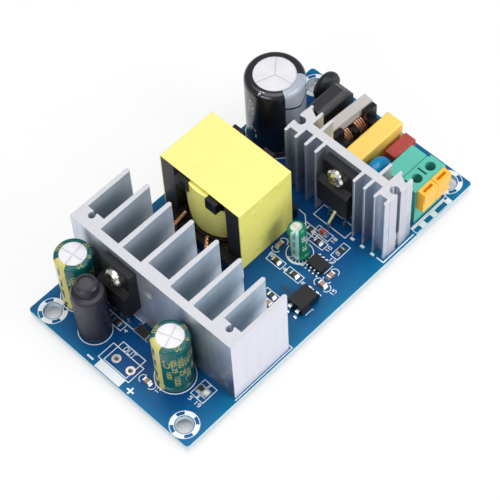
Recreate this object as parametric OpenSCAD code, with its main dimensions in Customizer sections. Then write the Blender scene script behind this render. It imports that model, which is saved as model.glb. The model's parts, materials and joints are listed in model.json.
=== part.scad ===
// Open frame power supply: one board with the mains input at the +X end and the low-voltage
// output at the -X end. The origin is the centre of the four mounting holes, on the board's
// underside. +X runs along the board towards the input, +Z is up, away from the solder side.

/* [Board] */
// Length of the board
board_l = 107; // [104:0.5:120]
// Width of the board
board_w = 58; // [57.5:0.5:70]
// Thickness of the board
board_t = 1.6; // [1:0.2:2.4]
// Corner radius of the board
board_r = 1; // [0.5:0.5:3]
// Mounting hole centre to the end of the board
hole_end = 4; // [3.5:0.5:5]
// Mounting hole centre to the long edge of the board
hole_side = 5; // [3.5:0.5:5]
// Diameter of the mounting holes
hole_d = 4.8; // [3:0.2:5]
// Width of the solder fillet around each lead
fillet_w = 0.55; // [0.3:0.05:0.7]
// Height of each solder joint below the board
joint_h = 1.3; // [0.8:0.1:1.6]
// Radial clearance of a lead in its drilled hole
drill_gap = 0.12; // [0.05:0.01:0.2]

/* [Output heatsink] */
// Height of both heatsinks
sink_h = 25; // [22:0.5:35]
// Outer face of the output heatsink to the end of the board
out_sink_end = 17.7; // [17.5:0.1:20]
// Length of the output heatsink across the board
out_sink_w = 56.1; // [54:0.1:57]
// Depth of the output heatsink, outer face to fin tips
out_sink_d = 19.8; // [12:0.1:22]
// Half the distance between the two middle fins
out_fin_first = 4.35; // [4:0.05:5]
// Distance between the other fins
out_fin_pitch = 7.92; // [7:0.02:8.1]
// Thickness of an output fin at its root
out_fin_root = 1.6; // [1.4:0.1:2]
// Thickness of an output fin at its tip
out_fin_tip = 1.25; // [0.8:0.05:1.4]
// Thickness of the two end flanges
out_flange_t = 1.3; // [1:0.1:1.8]
// Thickness of the base in the middle pocket
out_base_mid = 3.55; // [3:0.05:4]
// Thickness of the base in the pockets beside the middle
out_base_thin = 2.4; // [2:0.1:3]
// Thickness of the base in the end pockets, round the screw ports
out_base_end = 5; // [4.5:0.1:6]
// Screw port centre to the end of the output heatsink
out_port_inset = 4.05; // [3.5:0.05:4.5]
// Screw port centre to the outer face of the output heatsink
out_port_depth = 3.7; // [3:0.1:4]

/* [Input heatsink] */
// Web face that carries the transistor to the input end of the board
in_sink_end = 30.15; // [29.5:0.05:33]
// Centre of the input heatsink to the front edge of the board
in_sink_side = 18.75; // [18.5:0.05:20]
// Thickness of the web
in_web_t = 2.4; // [2:0.05:3]
// Reach of the fins on the transistor side
in_reach_a = 3.85; // [3:0.05:4.5]
// Reach of the fins on the other side
in_reach_b = 4.35; // [3:0.05:4.5]
// Centre of the web to the first fin beside the transistor
in_fin_first = 6.6; // [6.3:0.05:7]
// Distance between the fins
in_fin_pitch = 3.47; // [3:0.01:3.5]
// Thickness of the fins at their roots
in_fin_t = 1.1; // [0.8:0.1:1.6]
// Thickness of the fins at their tips
in_fin_tip = 0.8; // [0.5:0.05:1]
// Thickness of the port blocks at the two ends
in_block_t = 6.7; // [6:0.1:7]
// Width of the mouth of the front port
in_mouth_front = 1.3; // [1:0.1:2.2]
// Width of the mouth of the rear port
in_mouth_rear = 2.1; // [1:0.1:2.2]

/* [Semiconductors] */
// Width of each flat power package
pack_w = 10.2; // [9.6:0.1:10.6]
// Height of each flat power package
pack_h = 15.9; // [15:0.1:17]
// Thickness of the lower part of the package
pack_t = 4.7; // [4.3:0.1:5]
// Thickness of the screw tab
tab_t = 2.6; // [2:0.1:3.2]
// Height of the screw tab
tab_h = 6.8; // [6.5:0.1:7.5]
// Package foot to the board
pack_lift = 7; // [5:0.1:8.5]
// Lead to the mounting face of the package
pack_lead_x = 2.6; // [2.2:0.1:3]
// Lead pitch of the packages
pack_pitch = 2.54; // [2.2:0.01:2.6]
// Position of the rectifier along the output heatsink
rect_y = 9.7; // [9.6:0.1:11]
// Position of the transistor along the input heatsink, from the middle of its bay
trans_shift = -0.1; // [-0.3:0.05:0.3]
// Height of the screw hole above the package foot
pack_hole_z = 12.5; // [12.2:0.1:13]
// Radius of the package screws
screw_r = 1.45; // [1.2:0.05:1.5]
// Radius of the package screw heads
head_r = 2.7; // [2.4:0.1:3]
// Height of the screw heads
head_h = 1.9; // [1.4:0.1:2.1]
// How far the middle transistor lead is bent forward
trans_bend = 3.15; // [2:0.05:3.5]
// Radius of the screws that hold the output heatsink on the board
out_screw_r = 0.9; // [0.8:0.05:1.2]
// Radius of the screws that hold the input heatsink on the board
in_screw_r = 1.2; // [0.9:0.05:1.25]
// Clearance of a screw in its hole or port
screw_gap = 0.06; // [0.02:0.01:0.1]

/* [Transformer] */
// Size of the core along the board
core_w = 18.9; // [18:0.1:20]
// Size of the core across the board
core_l = 27.6; // [26:0.1:28]
// Height of the core
core_h = 24; // [20:0.1:28]
// Thickness of the plates of the core
core_plate = 4.2; // [3.5:0.1:5]
// Radius of the round middle leg
core_post_r = 6; // [5.5:0.1:6.3]
// Radius of the winding space
core_window_r = 11.25; // [10.9:0.05:11.6]
// Opening between the outer legs, seen from the side
core_mouth = 18.4; // [16:0.1:20]
// Depth of the notch in each plate
core_notch = 3.3; // [2:0.1:3.4]
// Thickness of the tape round the core
tape_t = 0.25; // [0.1:0.05:0.3]
// Centre of the transformer along the board
trafo_x = 1.95; // [1:0.05:2.5]
// Centre of the transformer across the board
trafo_y = 10.95; // [10.5:0.05:12]
// Radius of the winding under its tape
coil_r = 10.5; // [9:0.1:10.6]
// How far the winding bulges between the flanges
coil_bulge = 0.5; // [0.1:0.1:1]
// Thickness of the bobbin flanges
bobbin_flange_t = 1; // [0.6:0.1:2]
// Width of each upper lug of the bobbin
lug_w = 3.6; // [2:0.1:4]
// Distance between the two upper lugs on a side
lug_space = 7; // [6:0.1:8]
// Wall of the bobbin tube
bobbin_wall = 0.8; // [0.5:0.1:1]
// Width of each pin rail of the bobbin
rail_w = 3; // [2.4:0.1:3.4]
// Height of the pin rails
rail_h = 4.6; // [3:0.1:6]
// Number of pins on each rail
trafo_pins = 6; // [3:1:6]
// Pin pitch of the transformer
trafo_pitch = 3.8; // [3:0.1:4.6]
// Clearance between the bobbin and the core
bobbin_gap = 0.15; // [0.1:0.01:0.2]

/* [Capacitors] */
// Radius of the bulk capacitor
bulk_r = 8.2; // [6.5:0.1:8.2]
// Height of the bulk capacitor
bulk_h = 26; // [20:0.5:35]
// Bulk capacitor to the rear edge of the board
bulk_edge = 0.1; // [0.1:0.1:1]
// Centre of the bulk capacitor to the input end of the board
bulk_end = 23.1; // [23:0.1:25]
// Lead spacing of the bulk capacitor
bulk_pitch = 7.5; // [5:0.5:7.5]
// Radius of the two output capacitors
out_cap_r = 5; // [4:0.1:5.2]
// Height of the two output capacitors
out_cap_h = 19.8; // [16:0.2:25]
// Lead spacing of the output capacitors
out_cap_pitch = 5; // [3.5:0.5:5]
// Clearance between an output capacitor and the heatsink
out_cap_gap = 0.4; // [0.2:0.1:0.8]
// Rear output capacitor, centre across the board
cap_a_y = 22.1; // [21.5:0.1:23]
// Front output capacitor, centre across the board
cap_b_y = -12.5; // [-13:0.1:-11.5]
// Radius of the small capacitor
small_r = 2.5; // [2:0.1:3]
// Height of the small capacitor
small_h = 11.2; // [9:0.1:12.5]
// Lead spacing of the small capacitor
small_pitch = 2; // [1.5:0.1:2.5]
// Lean of the small capacitor towards the transformer, in degrees
small_lean = 7.5; // [0:0.5:10]
// Radius of the shoulder at the top of the bulk capacitor
bulk_shoulder = 1.8; // [1:0.1:2.4]
// Radius of the shoulder at the top of the other capacitors
cap_shoulder = 1; // [0.6:0.1:1.2]
// Thickness of the printed sleeves
sleeve_t = 0.2; // [0.1:0.05:0.3]

/* [Output choke] */
// Radius of the output choke
choke_r = 4.45; // [3.8:0.05:4.6]
// Height of the output choke
choke_h = 22.7; // [20:0.1:24]
// Height of its wide part
choke_body_h = 19; // [12:0.1:19.5]
// Radius of its neck
choke_neck_r = 3; // [2.6:0.1:3.6]
// Clearance to the rectifier screw
choke_gap = 1.1; // [0.6:0.1:1.6]
// Centre of the output choke across the board
choke_y = 11.9; // [11.5:0.1:12.2]
// Lead spacing of the output choke
choke_pitch = 5; // [3.5:0.5:5]

/* [Input parts] */
// Length of the yellow input capacitor
xcap_l = 18.4; // [16:0.1:18.8]
// Thickness of the yellow input capacitor
xcap_t = 5.65; // [4:0.05:6]
// Height of the yellow input capacitor
xcap_h = 11; // [9:0.1:13]
// Lead spacing of the yellow input capacitor
xcap_pitch = 15; // [12.5:0.5:15]
// Length of the fuse body
fuse_l = 8.3; // [7.5:0.1:8.6]
// Thickness of the fuse body
fuse_t = 3.65; // [3:0.05:4]
// Height of the fuse body
fuse_h = 8; // [7:0.1:9]
// Diameter of the blue disc capacitor
ycap_d = 9.3; // [7:0.1:9.6]
// Thickness of the blue disc capacitor
ycap_t = 3.6; // [3:0.1:4]
// Lead spacing of the blue disc capacitor and of the thermistor
disc_pitch = 5; // [4:0.5:6]
// Diameter of the thermistor
ntc_d = 9; // [8:0.1:9.6]
// Thickness of the thermistor
ntc_t = 2.6; // [2.2:0.1:4]
// Clearance between the bridge rectifier and the bulk capacitor
bridge_gap = 0.2; // [0.1:0.1:1]
// Length of the bridge rectifier
bridge_l = 12.6; // [12:0.1:14]
// Thickness of the bridge rectifier
bridge_t = 5; // [3.5:0.1:5.2]
// Height of the bridge rectifier
bridge_h = 12; // [10:0.1:13]
// Lead spacing of the bridge rectifier
bridge_pitch = 3.2; // [2.8:0.1:3.8]

/* [Line choke] */
// Length of the line choke's core
line_l = 16; // [15:0.1:17]
// Height of the line choke above the board
line_h = 12.4; // [11:0.1:14]
// Thickness of the core's legs
line_leg = 3; // [2.6:0.1:3.2]
// Height of the lower leg's middle above the board
line_axis_z = 4.8; // [4.6:0.1:5.4]
// Half the width of the bobbin flanges
line_flange = 4.1; // [3.6:0.1:4.2]
// Thickness of the bobbin's end flanges
line_flange_t = 0.75; // [0.6:0.05:1]
// Thickness of the bobbin's middle flange
line_mid_t = 1.8; // [1:0.1:2.4]
// Radius of the two windings
line_coil_r = 3.7; // [3.4:0.1:3.8]
// Turn of the line choke on the board, in degrees
line_turn = -3; // [-4:0.5:2]

/* [Terminal] */
// Width of the terminal housing, along the board
term_w = 10.9; // [10.4:0.1:12]
// Depth of the terminal housing, across the board
term_d = 10.8; // [10:0.1:11]
// Height of the terminal housing
term_h = 14; // [12:0.1:16]
// Distance between the two poles
term_pitch = 5.2; // [5:0.05:5.3]
// Radius of the wire holes
wire_r = 1.45; // [1.2:0.05:1.5]
// Wire hole centre to the front face of the housing
wire_inset = 2.8; // [2.7:0.05:3.2]
// Depth of the wire holes
wire_depth = 10; // [8:0.1:10.5]
// Clearance between the two press buttons
button_space = 0.15; // [0.1:0.05:0.8]
// Thickness of each press button, front to back
button_t = 2.6; // [2:0.1:2.8]
// Height of each press button
button_h = 7.7; // [6:0.1:8.5]
// How far the buttons stand above the housing
button_rise = 0.3; // [0:0.1:0.8]
// Travel of each press button
button_travel = 1.5; // [1:0.1:2]
// Clearance of the button's tongue in the housing
button_gap = 0.15; // [0.1:0.01:0.2]
// Terminal housing's far side to the input end of the board
term_end = 9.2; // [9:0.1:10]
// Front face of the housing to the front edge of the board
term_edge = 3; // [2.9:0.1:4]

/* [Small parts] */
// Length of the chip resistors and capacitors
chip_l = 2; // [1.6:0.1:2.2]
// Width of the chips
chip_w = 1.25; // [0.8:0.05:1.3]
// Length of the controller's body, along its lead rows
ic_l = 4.9; // [4.7:0.1:5.2]
// Width of the controller's body
ic_w = 3.9; // [3.7:0.1:4.2]
// Height of the controller
ic_h = 1.6; // [1.4:0.1:1.9]
// Length of the optocoupler, between its lead rows
opto_l = 6.4; // [6:0.1:6.8]
// Width of the optocoupler
opto_w = 4.7; // [4.4:0.1:5]
// Height of the optocoupler
opto_h = 3.5; // [3:0.1:4]
// Length of the round diode
diode_l = 2.2; // [1.8:0.1:3.5]
// Radius of the round diode
diode_r = 0.7; // [0.5:0.05:0.8]

/* [Hidden] */
$fn = 48;
eps = 0.01;
over = 1;
top = board_t;
end_x = board_l / 2;
edge_y = board_w / 2;
hole_x = end_x - hole_end;
hole_y = edge_y - hole_side;

// Output heatsink: outer face, fin tips and fin rows
out_x = -end_x + out_sink_end;
out_tip_x = out_x + out_sink_d;
out_half = out_sink_w / 2;
out_port = [out_x + out_port_depth, out_half - out_port_inset];
out_neck_w = 1.2;

// Input heatsink: web face, middle of its length and its ports
in_x = end_x - in_sink_end;
in_y = -edge_y + in_sink_side;
in_end = in_fin_first + 3 * in_fin_pitch;
in_half = in_end + in_fin_t / 2;
in_port_wall = 0.7;
in_port_y = in_end - in_fin_pitch + in_fin_t / 2 + in_screw_r + in_port_wall;
in_mid_x = in_x + in_web_t / 2;
out_port_points = [for (s = [-1, 1]) [out_port[0], s * out_port[1]]];
in_port_points = [for (s = [-1, 1]) [in_mid_x, in_y + s * in_port_y]];
port_screw_len = 8;
port_head = 2;

// Power packages
trans_y = in_y + trans_shift;
spare_y = 0.86;
spare_z = 17.4;
pack_screw_len = tab_t + out_base_thin;
lead_w = 0.75;
lead_t = 0.5;
lead_r = norm([lead_w, lead_t]) / 2;
rect_leads = [for (i = [-1:1]) [out_x - pack_lead_x, rect_y + i * pack_pitch]];
trans_leads = [for (i = [-1:1])
    [in_x - pack_lead_x - (i == 0 ? trans_bend : 0), trans_y + i * pack_pitch]];

// Capacitors: centres and leads
trafo_front = trafo_y - core_l / 2 - tape_t;
groove_r = 0.8;
groove_out = 0.35;
can_gap = 0.02;
wire_lead_r = 0.3;
thick_lead_r = 0.4;
bulk = [end_x - bulk_end, edge_y - bulk_edge - bulk_r];
out_cap_x = out_x - out_cap_gap - out_cap_r;
cap_a = [out_cap_x, cap_a_y];
cap_b = [out_cap_x, cap_b_y];
small = [6.4, trafo_front - small_r - 5.15];
small_lift = small_r * sin(small_lean);
bulk_leads = pair(bulk, bulk_pitch, 0);
cap_leads = concat(pair(cap_a, out_cap_pitch, 90), pair(cap_b, out_cap_pitch, 90));
small_leads = pair(small, small_pitch, 0);

// Output choke
choke = [out_x - tab_t - head_h - choke_gap - choke_r, choke_y];
choke_leads = pair(choke, choke_pitch, 0);

// Transformer: core seat, window and pin rails
trafo_half = core_l / 2;
core_z = top + tape_t;
window_z = core_z + core_plate;
window_h = core_h - 2 * core_plate;
tube_r = core_post_r + bobbin_gap + bobbin_wall;
flange_r = core_window_r - 2 * bobbin_gap;
rail_x = core_w / 2 + bobbin_gap;
trafo_pin_r = 0.4;
trafo_pin_points = [for (s = [-1, 1], i = [0:trafo_pins - 1])
    [trafo_x + s * (rail_x + rail_w / 2), trafo_y + (i - (trafo_pins - 1) / 2) * trafo_pitch]];

// Litz leads: the angle at which each leaves the winding, and its place along the rail
litz_r = 0.55;
litz_gap = 0.5;
litz_angles = [145, 171, 196];
litz_places = [6.3, 0.4, -5.2];
litz_x = trafo_x - rail_x - rail_w - litz_r - litz_gap;
litz_points = [for (y = litz_places) [litz_x, trafo_y + y]];

// Input parts
xcap_end = 3.5;
xcap_y = -4.575;
xcap = [end_x - xcap_end - xcap_l / 2, xcap_y];
fuse_end = 3.8;
fuse_gap = 1.1;
fuse_at = [end_x - fuse_end - fuse_l / 2, xcap[1] - xcap_t / 2 - fuse_gap - fuse_t / 2];
ycap_gap = 0.3;
ycap = [fuse_at[0] - fuse_l / 2 - ycap_gap - ycap_d / 2, fuse_at[1] - ycap_gap / 2];
ntc_end = 0.9;
ntc_side = 10.3;
ntc = [end_x - ntc_end - ntc_d / 2, edge_y - ntc_side];
bridge_y = 12.1;
bridge_side = 6;
bridge_reach = min(bulk[1] - bridge_y - bridge_t / 2, bridge_side);
bridge = [bulk[0] + sqrt(pow(bulk_r + bridge_gap, 2) - pow(bridge_reach, 2)) + bridge_l / 2, bridge_y];
line_end = 12.3;
line_y = 4.9;
line = [end_x - line_end, line_y];
disc_lift = 0.4;
ntc_lift = 1;
ycap_z = top + disc_lift + ycap_d / 2;
ntc_z = top + ntc_lift + ntc_d / 2;
xcap_leads = pair(xcap, xcap_pitch, 0);
fuse_pitch = 5.08;
fuse_leads_at = pair(fuse_at, fuse_pitch, 0);
ycap_leads = pair(ycap, disc_pitch, 0);
ntc_leads = pair(ntc, disc_pitch, 0);
bridge_leads = [for (i = [-1.5:1.5]) [bridge[0] + i * bridge_pitch, bridge[1]]];

// Line choke: its own frame has X along the core and the lower leg's middle at y = 0
line_gap = 0.15;
line_wall = 0.6;
line_tube = line_leg / 2 + line_gap + line_wall;
line_body_l = line_l - 2 * line_leg - 2 * line_gap;
line_bay = (line_body_l - line_mid_t - 2 * line_flange_t) / 2;
line_bay_x = (line_bay + line_mid_t) / 2;
line_flange_x = line_body_l / 2 - line_flange_t;
line_flange_z = line_axis_z - line_flange + 0.7;
line_foot = 1.4;
line_wall_t = 1.55;
line_step_w = 2.4;
line_step_y = line_leg / 2 + line_gap + line_wall_t;
line_skirt_y = line_coil_r + 0.4;
line_skirt_h = 6;
line_pin_y = 3.2;
line_pin_points = [for (s = [-1, 1], t = [-1, 1])
    let (p = [s * (line_body_l / 2 - line_flange_t / 2), t * line_pin_y])
    [line[0] + p[0] * cos(line_turn) - p[1] * sin(line_turn),
     line[1] + p[0] * sin(line_turn) + p[1] * cos(line_turn)]];

// Terminal: middle of the housing, poles and the buttons' seats
term = [end_x - term_end - term_w / 2, -edge_y + term_edge + term_d / 2];
term_front = term[1] - term_d / 2;
wire_y = term_front + wire_inset;
poles = [for (s = [-1, 1]) term[0] + s * term_pitch / 2];
wire_shift = 0.85;
slot_shift = -1.75;
clip_shift = 0.35;
button_shift = 0.3;
clip_t = 0.8;
clip_z = top + term_h - wire_depth - clip_t;
clip_half = 2;
clip_depth = 4;
button_z = top + term_h + button_rise - button_h;
button_w = term_pitch - button_space;
button_lip = 3.6;
button_step = 0.4;
pocket_l = 3.3;
pocket_w = 0.9;
pocket_depth = 1.5;
tongue_w = 2.4;
tongue_d = 1;
neck_w = 1.2;
neck_d = 0.5;
front_gap = 0.05;
tongue_drop = 1.2;
tongue_h = button_h - button_rise - 2 * tongue_drop;
tongue_z = top + term_h - tongue_drop - tongue_h;
seam_y = 5.6;
seam_w = 0.3;
slot_w = 0.55;
slot_l = 3;
slot_depth = 3;
rib_t = 0.9;
rib_l = 5;
rib_lift = 1.2;
clip_pin_r = 0.5;
clip_points = [for (x = poles, s = [-1, 1]) [x + clip_shift, wire_y + 1.2 + s * 1.4]];

// Output pads: a pair of plated holes for the output wires or a terminal
pad_end = 5.45;
pad_pitch = 5.15;
pad_r = 0.65;
pad_points = pair([-end_x + pad_end, -0.72], pad_pitch, 90);

// Small parts on the board's top, [x, y, turn]
resistors = [
    [0.4, -7.6, 90], [0.45, -13.95, 90], [13.5, -7.6, 90], [12.1, -11.6, 90], [13.9, -17.9, 0],
    [-8.1, -14.1, 90], [-end_x + 13.85, -19.95, 0]
];
capacitors = [
    [6.7, -21.2, 0], [3.2, -21.4, 90], [-10.45, -15.1, 90], [-end_x + 6.1, -8.7, 90],
    [4.65, trafo_front - 1.85, 0]
];
chip_h = 0.6;
cap_chip_h = 0.9;
shunt = [-end_x + 15.3, 2.1];
rect_chip = [-end_x + 12.9, 9.5, 90];
diode = [15, -10.8];
led = [-end_x + 13.8, -21.95];
ic = [6.8, -16.6];
opto = [-4.1, -21.6];
foot_t = 0.2;

// Mirrors its children to the -X side where s is negative
module side(s) {
    if (s < 0) mirror([1, 0, 0]) children();
    else children();
}

// Two points, pitch apart, along the given direction
function pair(c, pitch, turn) = [for (s = [-1, 1])
    [c[0] + s * pitch / 2 * cos(turn), c[1] + s * pitch / 2 * sin(turn)]];

// A box centred in X and Y that stands at height z
module block(size, at = [0, 0, 0]) translate([at[0] - size[0] / 2, at[1] - size[1] / 2, at[2]]) cube(size);

// A rectangle with rounded corners, centred
module rounded(size, r) {
    square([size[0], size[1] - 2 * r], center = true);
    square([size[0] - 2 * r, size[1]], center = true);
    for (sx = [-1, 1], sy = [-1, 1])
        translate([sx * (size[0] / 2 - r), sy * (size[1] / 2 - r)]) circle(r = r);
}

// A box that stands on z = 0 with every edge but the bottom ones rounded
module soft_block(size, r) intersection() {
    linear_extrude(size[2]) rounded([size[0], size[1]], r);
    translate([0, size[1] / 2 + over, 0]) rotate([90, 0, 0]) linear_extrude(size[1] + 2 * over)
        translate([0, size[2] / 2 - r]) rounded([size[0], size[2] + 2 * r], r);
    rotate([90, 0, 90]) translate([0, 0, -size[0] / 2 - over]) linear_extrude(size[0] + 2 * over)
        translate([0, size[2] / 2 - r]) rounded([size[1], size[2] + 2 * r], r);
}

// Holes through the board for leads of radius r
module drills(points, r) for (p = points)
    translate([p[0], p[1], -over]) cylinder(r = r + drill_gap, h = board_t + 2 * over);

// Round leads from the underside of the board up to height z
module leads(points, r, z) for (p = points) translate([p[0], p[1], 0]) cylinder(r = r, h = z);

// Solder joints: a fillet under the board with the cut end of the lead in it
module joints(points, r) for (p = points) translate([p[0], p[1], -joint_h]) {
    cylinder(r1 = r + 0.1, r2 = r + drill_gap + fillet_w, h = joint_h);
    translate([0, 0, -0.3]) cylinder(r = r, h = 0.3 + eps);
}

module circuit_board() color("#0b4a86") difference() {
    linear_extrude(board_t) rounded([board_l, board_w], board_r);
    for (sx = [-1, 1], sy = [-1, 1])
        translate([sx * hole_x, sy * hole_y, -over]) cylinder(d = hole_d, h = board_t + 2 * over);
    drills(out_port_points, out_screw_r);
    drills(in_port_points, in_screw_r);
    drills(rect_leads, lead_r);
    drills(trans_leads, lead_r);
    drills(bulk_leads, thick_lead_r);
    drills(cap_leads, wire_lead_r);
    drills(small_leads, wire_lead_r);
    drills(choke_leads, thick_lead_r);
    drills(trafo_pin_points, trafo_pin_r);
    drills(litz_points, litz_r);
    drills(line_pin_points, thick_lead_r);
    drills(concat(xcap_leads, fuse_leads_at, ycap_leads, ntc_leads), wire_lead_r);
    drills(bridge_leads, thick_lead_r);
    drills(clip_points, clip_pin_r);
    drills(pad_points, pad_r - drill_gap);
}

module solder_joints() color("#c9ccd0") {
    joints(rect_leads, lead_r);
    joints(trans_leads, lead_r);
    joints(bulk_leads, thick_lead_r);
    joints(cap_leads, wire_lead_r);
    joints(small_leads, wire_lead_r);
    joints(choke_leads, thick_lead_r);
    joints(trafo_pin_points, trafo_pin_r);
    joints(litz_points, litz_r);
    joints(line_pin_points, thick_lead_r);
    joints(concat(xcap_leads, fuse_leads_at, ycap_leads, ntc_leads), wire_lead_r);
    joints(bridge_leads, thick_lead_r);
    joints(clip_points, clip_pin_r);
}

// A pan head on z = 0 with a cross recess, its shank pointing down
module screw(shank_r, shank_l, r, h) {
    translate([0, 0, -shank_l]) cylinder(r = shank_r, h = shank_l + eps);
    difference() {
        rotate_extrude() polygon([[0, 0], [r, 0], [r, h * 0.45], [r * 0.85, h * 0.8], [r * 0.55, h], [0, h]]);
        for (a = [0, 90]) rotate(a) block([r * 1.05, r * 0.22, h], [0, 0, h * 0.45]);
    }
}

module port_screws(points, r) for (p = points) translate([p[0], p[1], 0]) mirror([0, 0, 1])
    screw(r, port_screw_len, port_head * r, 0.85 * port_head * r);

module heatsink_screws() color("#b9bcc2") {
    port_screws(out_port_points, out_screw_r);
    port_screws(in_port_points, in_screw_r);
}

module package_screws() color("#c8c4b0") {
    translate([out_x - tab_t, rect_y, top + pack_lift + pack_hole_z]) rotate([0, -90, 0])
        rotate(45) screw(screw_r, pack_screw_len, head_r, head_h);
    translate([in_x - tab_t, trans_y, top + pack_lift + pack_hole_z]) rotate([0, -90, 0])
        rotate(20) screw(screw_r, pack_screw_len, head_r, head_h);
}

// One fin from x = 0 to its rounded tip, seen from above
module fin(reach, root, tip) {
    polygon([[-over, -root / 2], [reach - tip / 2, -tip / 2], [reach - tip / 2, tip / 2], [-over, root / 2]]);
    translate([reach - tip / 2, 0]) circle(d = tip);
}

// Section of the output heatsink: a stepped base, end flanges and six inner fins
module output_section() difference() {
    union() {
        for (s = [-1, 1]) {
            translate([out_x, s * out_half - (s > 0 ? out_base_w(2) : 0)])
                square([out_base_end, out_base_w(2)]);
            translate([out_x, s > 0 ? out_half - out_flange_t : -out_half])
                square([out_sink_d - out_flange_t / 2, out_flange_t]);
            translate([out_tip_x - out_flange_t / 2, s * (out_half - out_flange_t / 2)])
                circle(d = out_flange_t);
            for (i = [0:2]) translate([out_x + over, s * (out_fin_first + i * out_fin_pitch)])
                fin(out_sink_d - over, out_fin_root, out_fin_tip);
        }
        translate([out_x, -out_half]) square([out_base_thin, out_sink_w]);
        translate([out_x, -out_fin_first]) square([out_base_mid, 2 * out_fin_first]);
    }
    for (s = [-1, 1]) translate([out_port[0], s * out_port[1]]) {
        circle(r = out_screw_r + screw_gap);
        translate([0, -out_neck_w / 2]) square([out_base_end, out_neck_w]);
    }
}

// Distance from the end of the output heatsink to fin i
function out_base_w(i) = out_half - out_fin_first - i * out_fin_pitch;

module output_heatsink() color("#d5d6da") difference() {
    translate([0, 0, top]) linear_extrude(sink_h) output_section();
    translate([out_x - over, rect_y, top + pack_lift + pack_hole_z]) rotate([0, 90, 0])
        cylinder(r = screw_r + screw_gap, h = out_base_end + over);
    translate([out_x - over, spare_y, top + spare_z]) rotate([0, 90, 0])
        cylinder(r = screw_r + screw_gap, h = out_base_end + over);
}

// Section of the input heatsink: a web with fins on both sides and a screw port at each end
module input_section() difference() {
    union() {
        translate([in_x, in_y - in_half]) square([in_web_t, 2 * in_half]);
        for (s = [-1, 1]) {
            for (i = [0:3]) in_fin_at(s, i, -1, in_reach_a);
            for (i = [1:3]) in_fin_at(s, i, 1, in_reach_b);
            translate([in_mid_x - in_block_t / 2, s > 0 ? in_y + in_end - in_fin_pitch : in_y - in_half])
                square([in_block_t, in_half - in_end + in_fin_pitch]);
        }
        for (y = [in_y + in_end, in_y - in_end + in_fin_pitch]) in_wedge(y);
    }
    for (s = [-1, 1]) translate([in_mid_x, in_y + s * in_port_y]) {
        circle(r = in_screw_r + screw_gap);
        in_mouth(s, s > 0 ? in_mouth_rear : in_mouth_front);
    }
}

// Fin i on the half s of the web, on its transistor side (-1) or on the other (1)
module in_fin_at(s, i, to, reach) translate([in_mid_x, in_y + s * (in_fin_first + i * in_fin_pitch)])
    side(to) fin(in_web_t / 2 + reach, in_fin_t, in_fin_tip);

// The fin at y thickens towards the front, down to the root of the next one
module in_wedge(y) polygon([
    [in_mid_x, y - in_fin_pitch], [in_mid_x + in_block_t / 2 - 0.2, y - in_fin_pitch],
    [in_x + in_web_t + in_reach_b - in_fin_tip, y - in_fin_tip / 4], [in_mid_x, y]
]);

// Mouth of a port, through the end s of the heatsink
module in_mouth(s, w) translate([-w / 2, s > 0 ? 0 : -in_half]) square([w, in_half]);

module input_heatsink() color("#cfd0d6") difference() {
    translate([0, 0, top]) linear_extrude(sink_h) input_section();
    translate([in_x - over, trans_y, top + pack_lift + pack_hole_z]) rotate([0, 90, 0])
        cylinder(r = screw_r + screw_gap, h = in_web_t + 2 * over);
}

// Flat power package: its back lies on x = 0 and its front faces +X
module pack_body() difference() {
    translate([0, pack_w / 2, 0]) rotate([90, 0, 0]) linear_extrude(pack_w) polygon([
        [0, 0], [pack_t - 0.3, 0], [pack_t, 0.4], [pack_t, pack_h - tab_h - 0.6],
        [tab_t, pack_h - tab_h + 0.4], [tab_t, pack_h - 0.3], [tab_t - 0.3, pack_h], [0, pack_h]
    ]);
    translate([-over, 0, pack_hole_z]) rotate([0, 90, 0]) cylinder(r = screw_r + 0.15, h = pack_t + over);
    for (s = [-1, 1]) translate([-over, s * pack_w / 2, pack_h - tab_h + 2.6]) rotate([0, 90, 0])
        cylinder(r = 0.6, h = pack_t + over);
}

module rectifier_body() color("#1b1b1d")
    translate([out_x, rect_y, top + pack_lift]) mirror([1, 0, 0]) pack_body();

module transistor_body() color("#1b1b1d")
    translate([in_x, trans_y, top + pack_lift]) mirror([1, 0, 0]) pack_body();

// A flat lead that runs straight down through the board
module flat_lead(p) block([lead_t, lead_w, top + pack_lift], [p[0], p[1], 0]);

module rectifier_leads() color("#c9c9c9") for (p = rect_leads) flat_lead(p);

module transistor_leads() color("#c9c9c9") {
    flat_lead(trans_leads[0]);
    flat_lead(trans_leads[2]);
    translate([trans_leads[1][0], trans_y + lead_w / 2, 0]) rotate([90, 0, 0])
        linear_extrude(lead_w) polygon([
        [-lead_t / 2, 0], [lead_t / 2, 0], [lead_t / 2, top + 1.4],
        [trans_bend + lead_t / 2, top + pack_lift - 2.2], [trans_bend + lead_t / 2, top + pack_lift],
        [trans_bend - lead_t / 2, top + pack_lift], [trans_bend - lead_t / 2, top + pack_lift - 2],
        [-lead_t / 2, top + 1.6]
    ]);
}

// Half section of an electrolytic: a rolled groove near the foot and a rounded shoulder,
// drawn as far inside the sleeve's outer face as inset
module can_section(r, h, groove_z, shoulder, inset) difference() {
    union() {
        translate([0, inset]) square([r - inset, h - shoulder - inset]);
        translate([0, inset]) square([r - shoulder, h - 2 * inset]);
        translate([r - shoulder, h - shoulder]) circle(r = shoulder - inset);
    }
    translate([r + groove_out, groove_z]) circle(r = groove_r + inset);
    translate([-2 * r, -over]) square([2 * r, h + 2 * over]);
}

// The can stands inside its sleeve
module can_body(r, h, groove_z, shoulder)
    rotate_extrude() can_section(r, h, groove_z, shoulder, sleeve_t + can_gap);

// The sleeve follows the groove and folds over the top and the foot, as far in as fold
module can_sleeve(r, h, groove_z, shoulder, fold) rotate_extrude() difference() {
    can_section(r, h, groove_z, shoulder, 0);
    can_section(r, h, groove_z, shoulder, sleeve_t);
    translate([-over, -over]) square([r - fold + over, h + 2 * over]);
}

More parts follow.
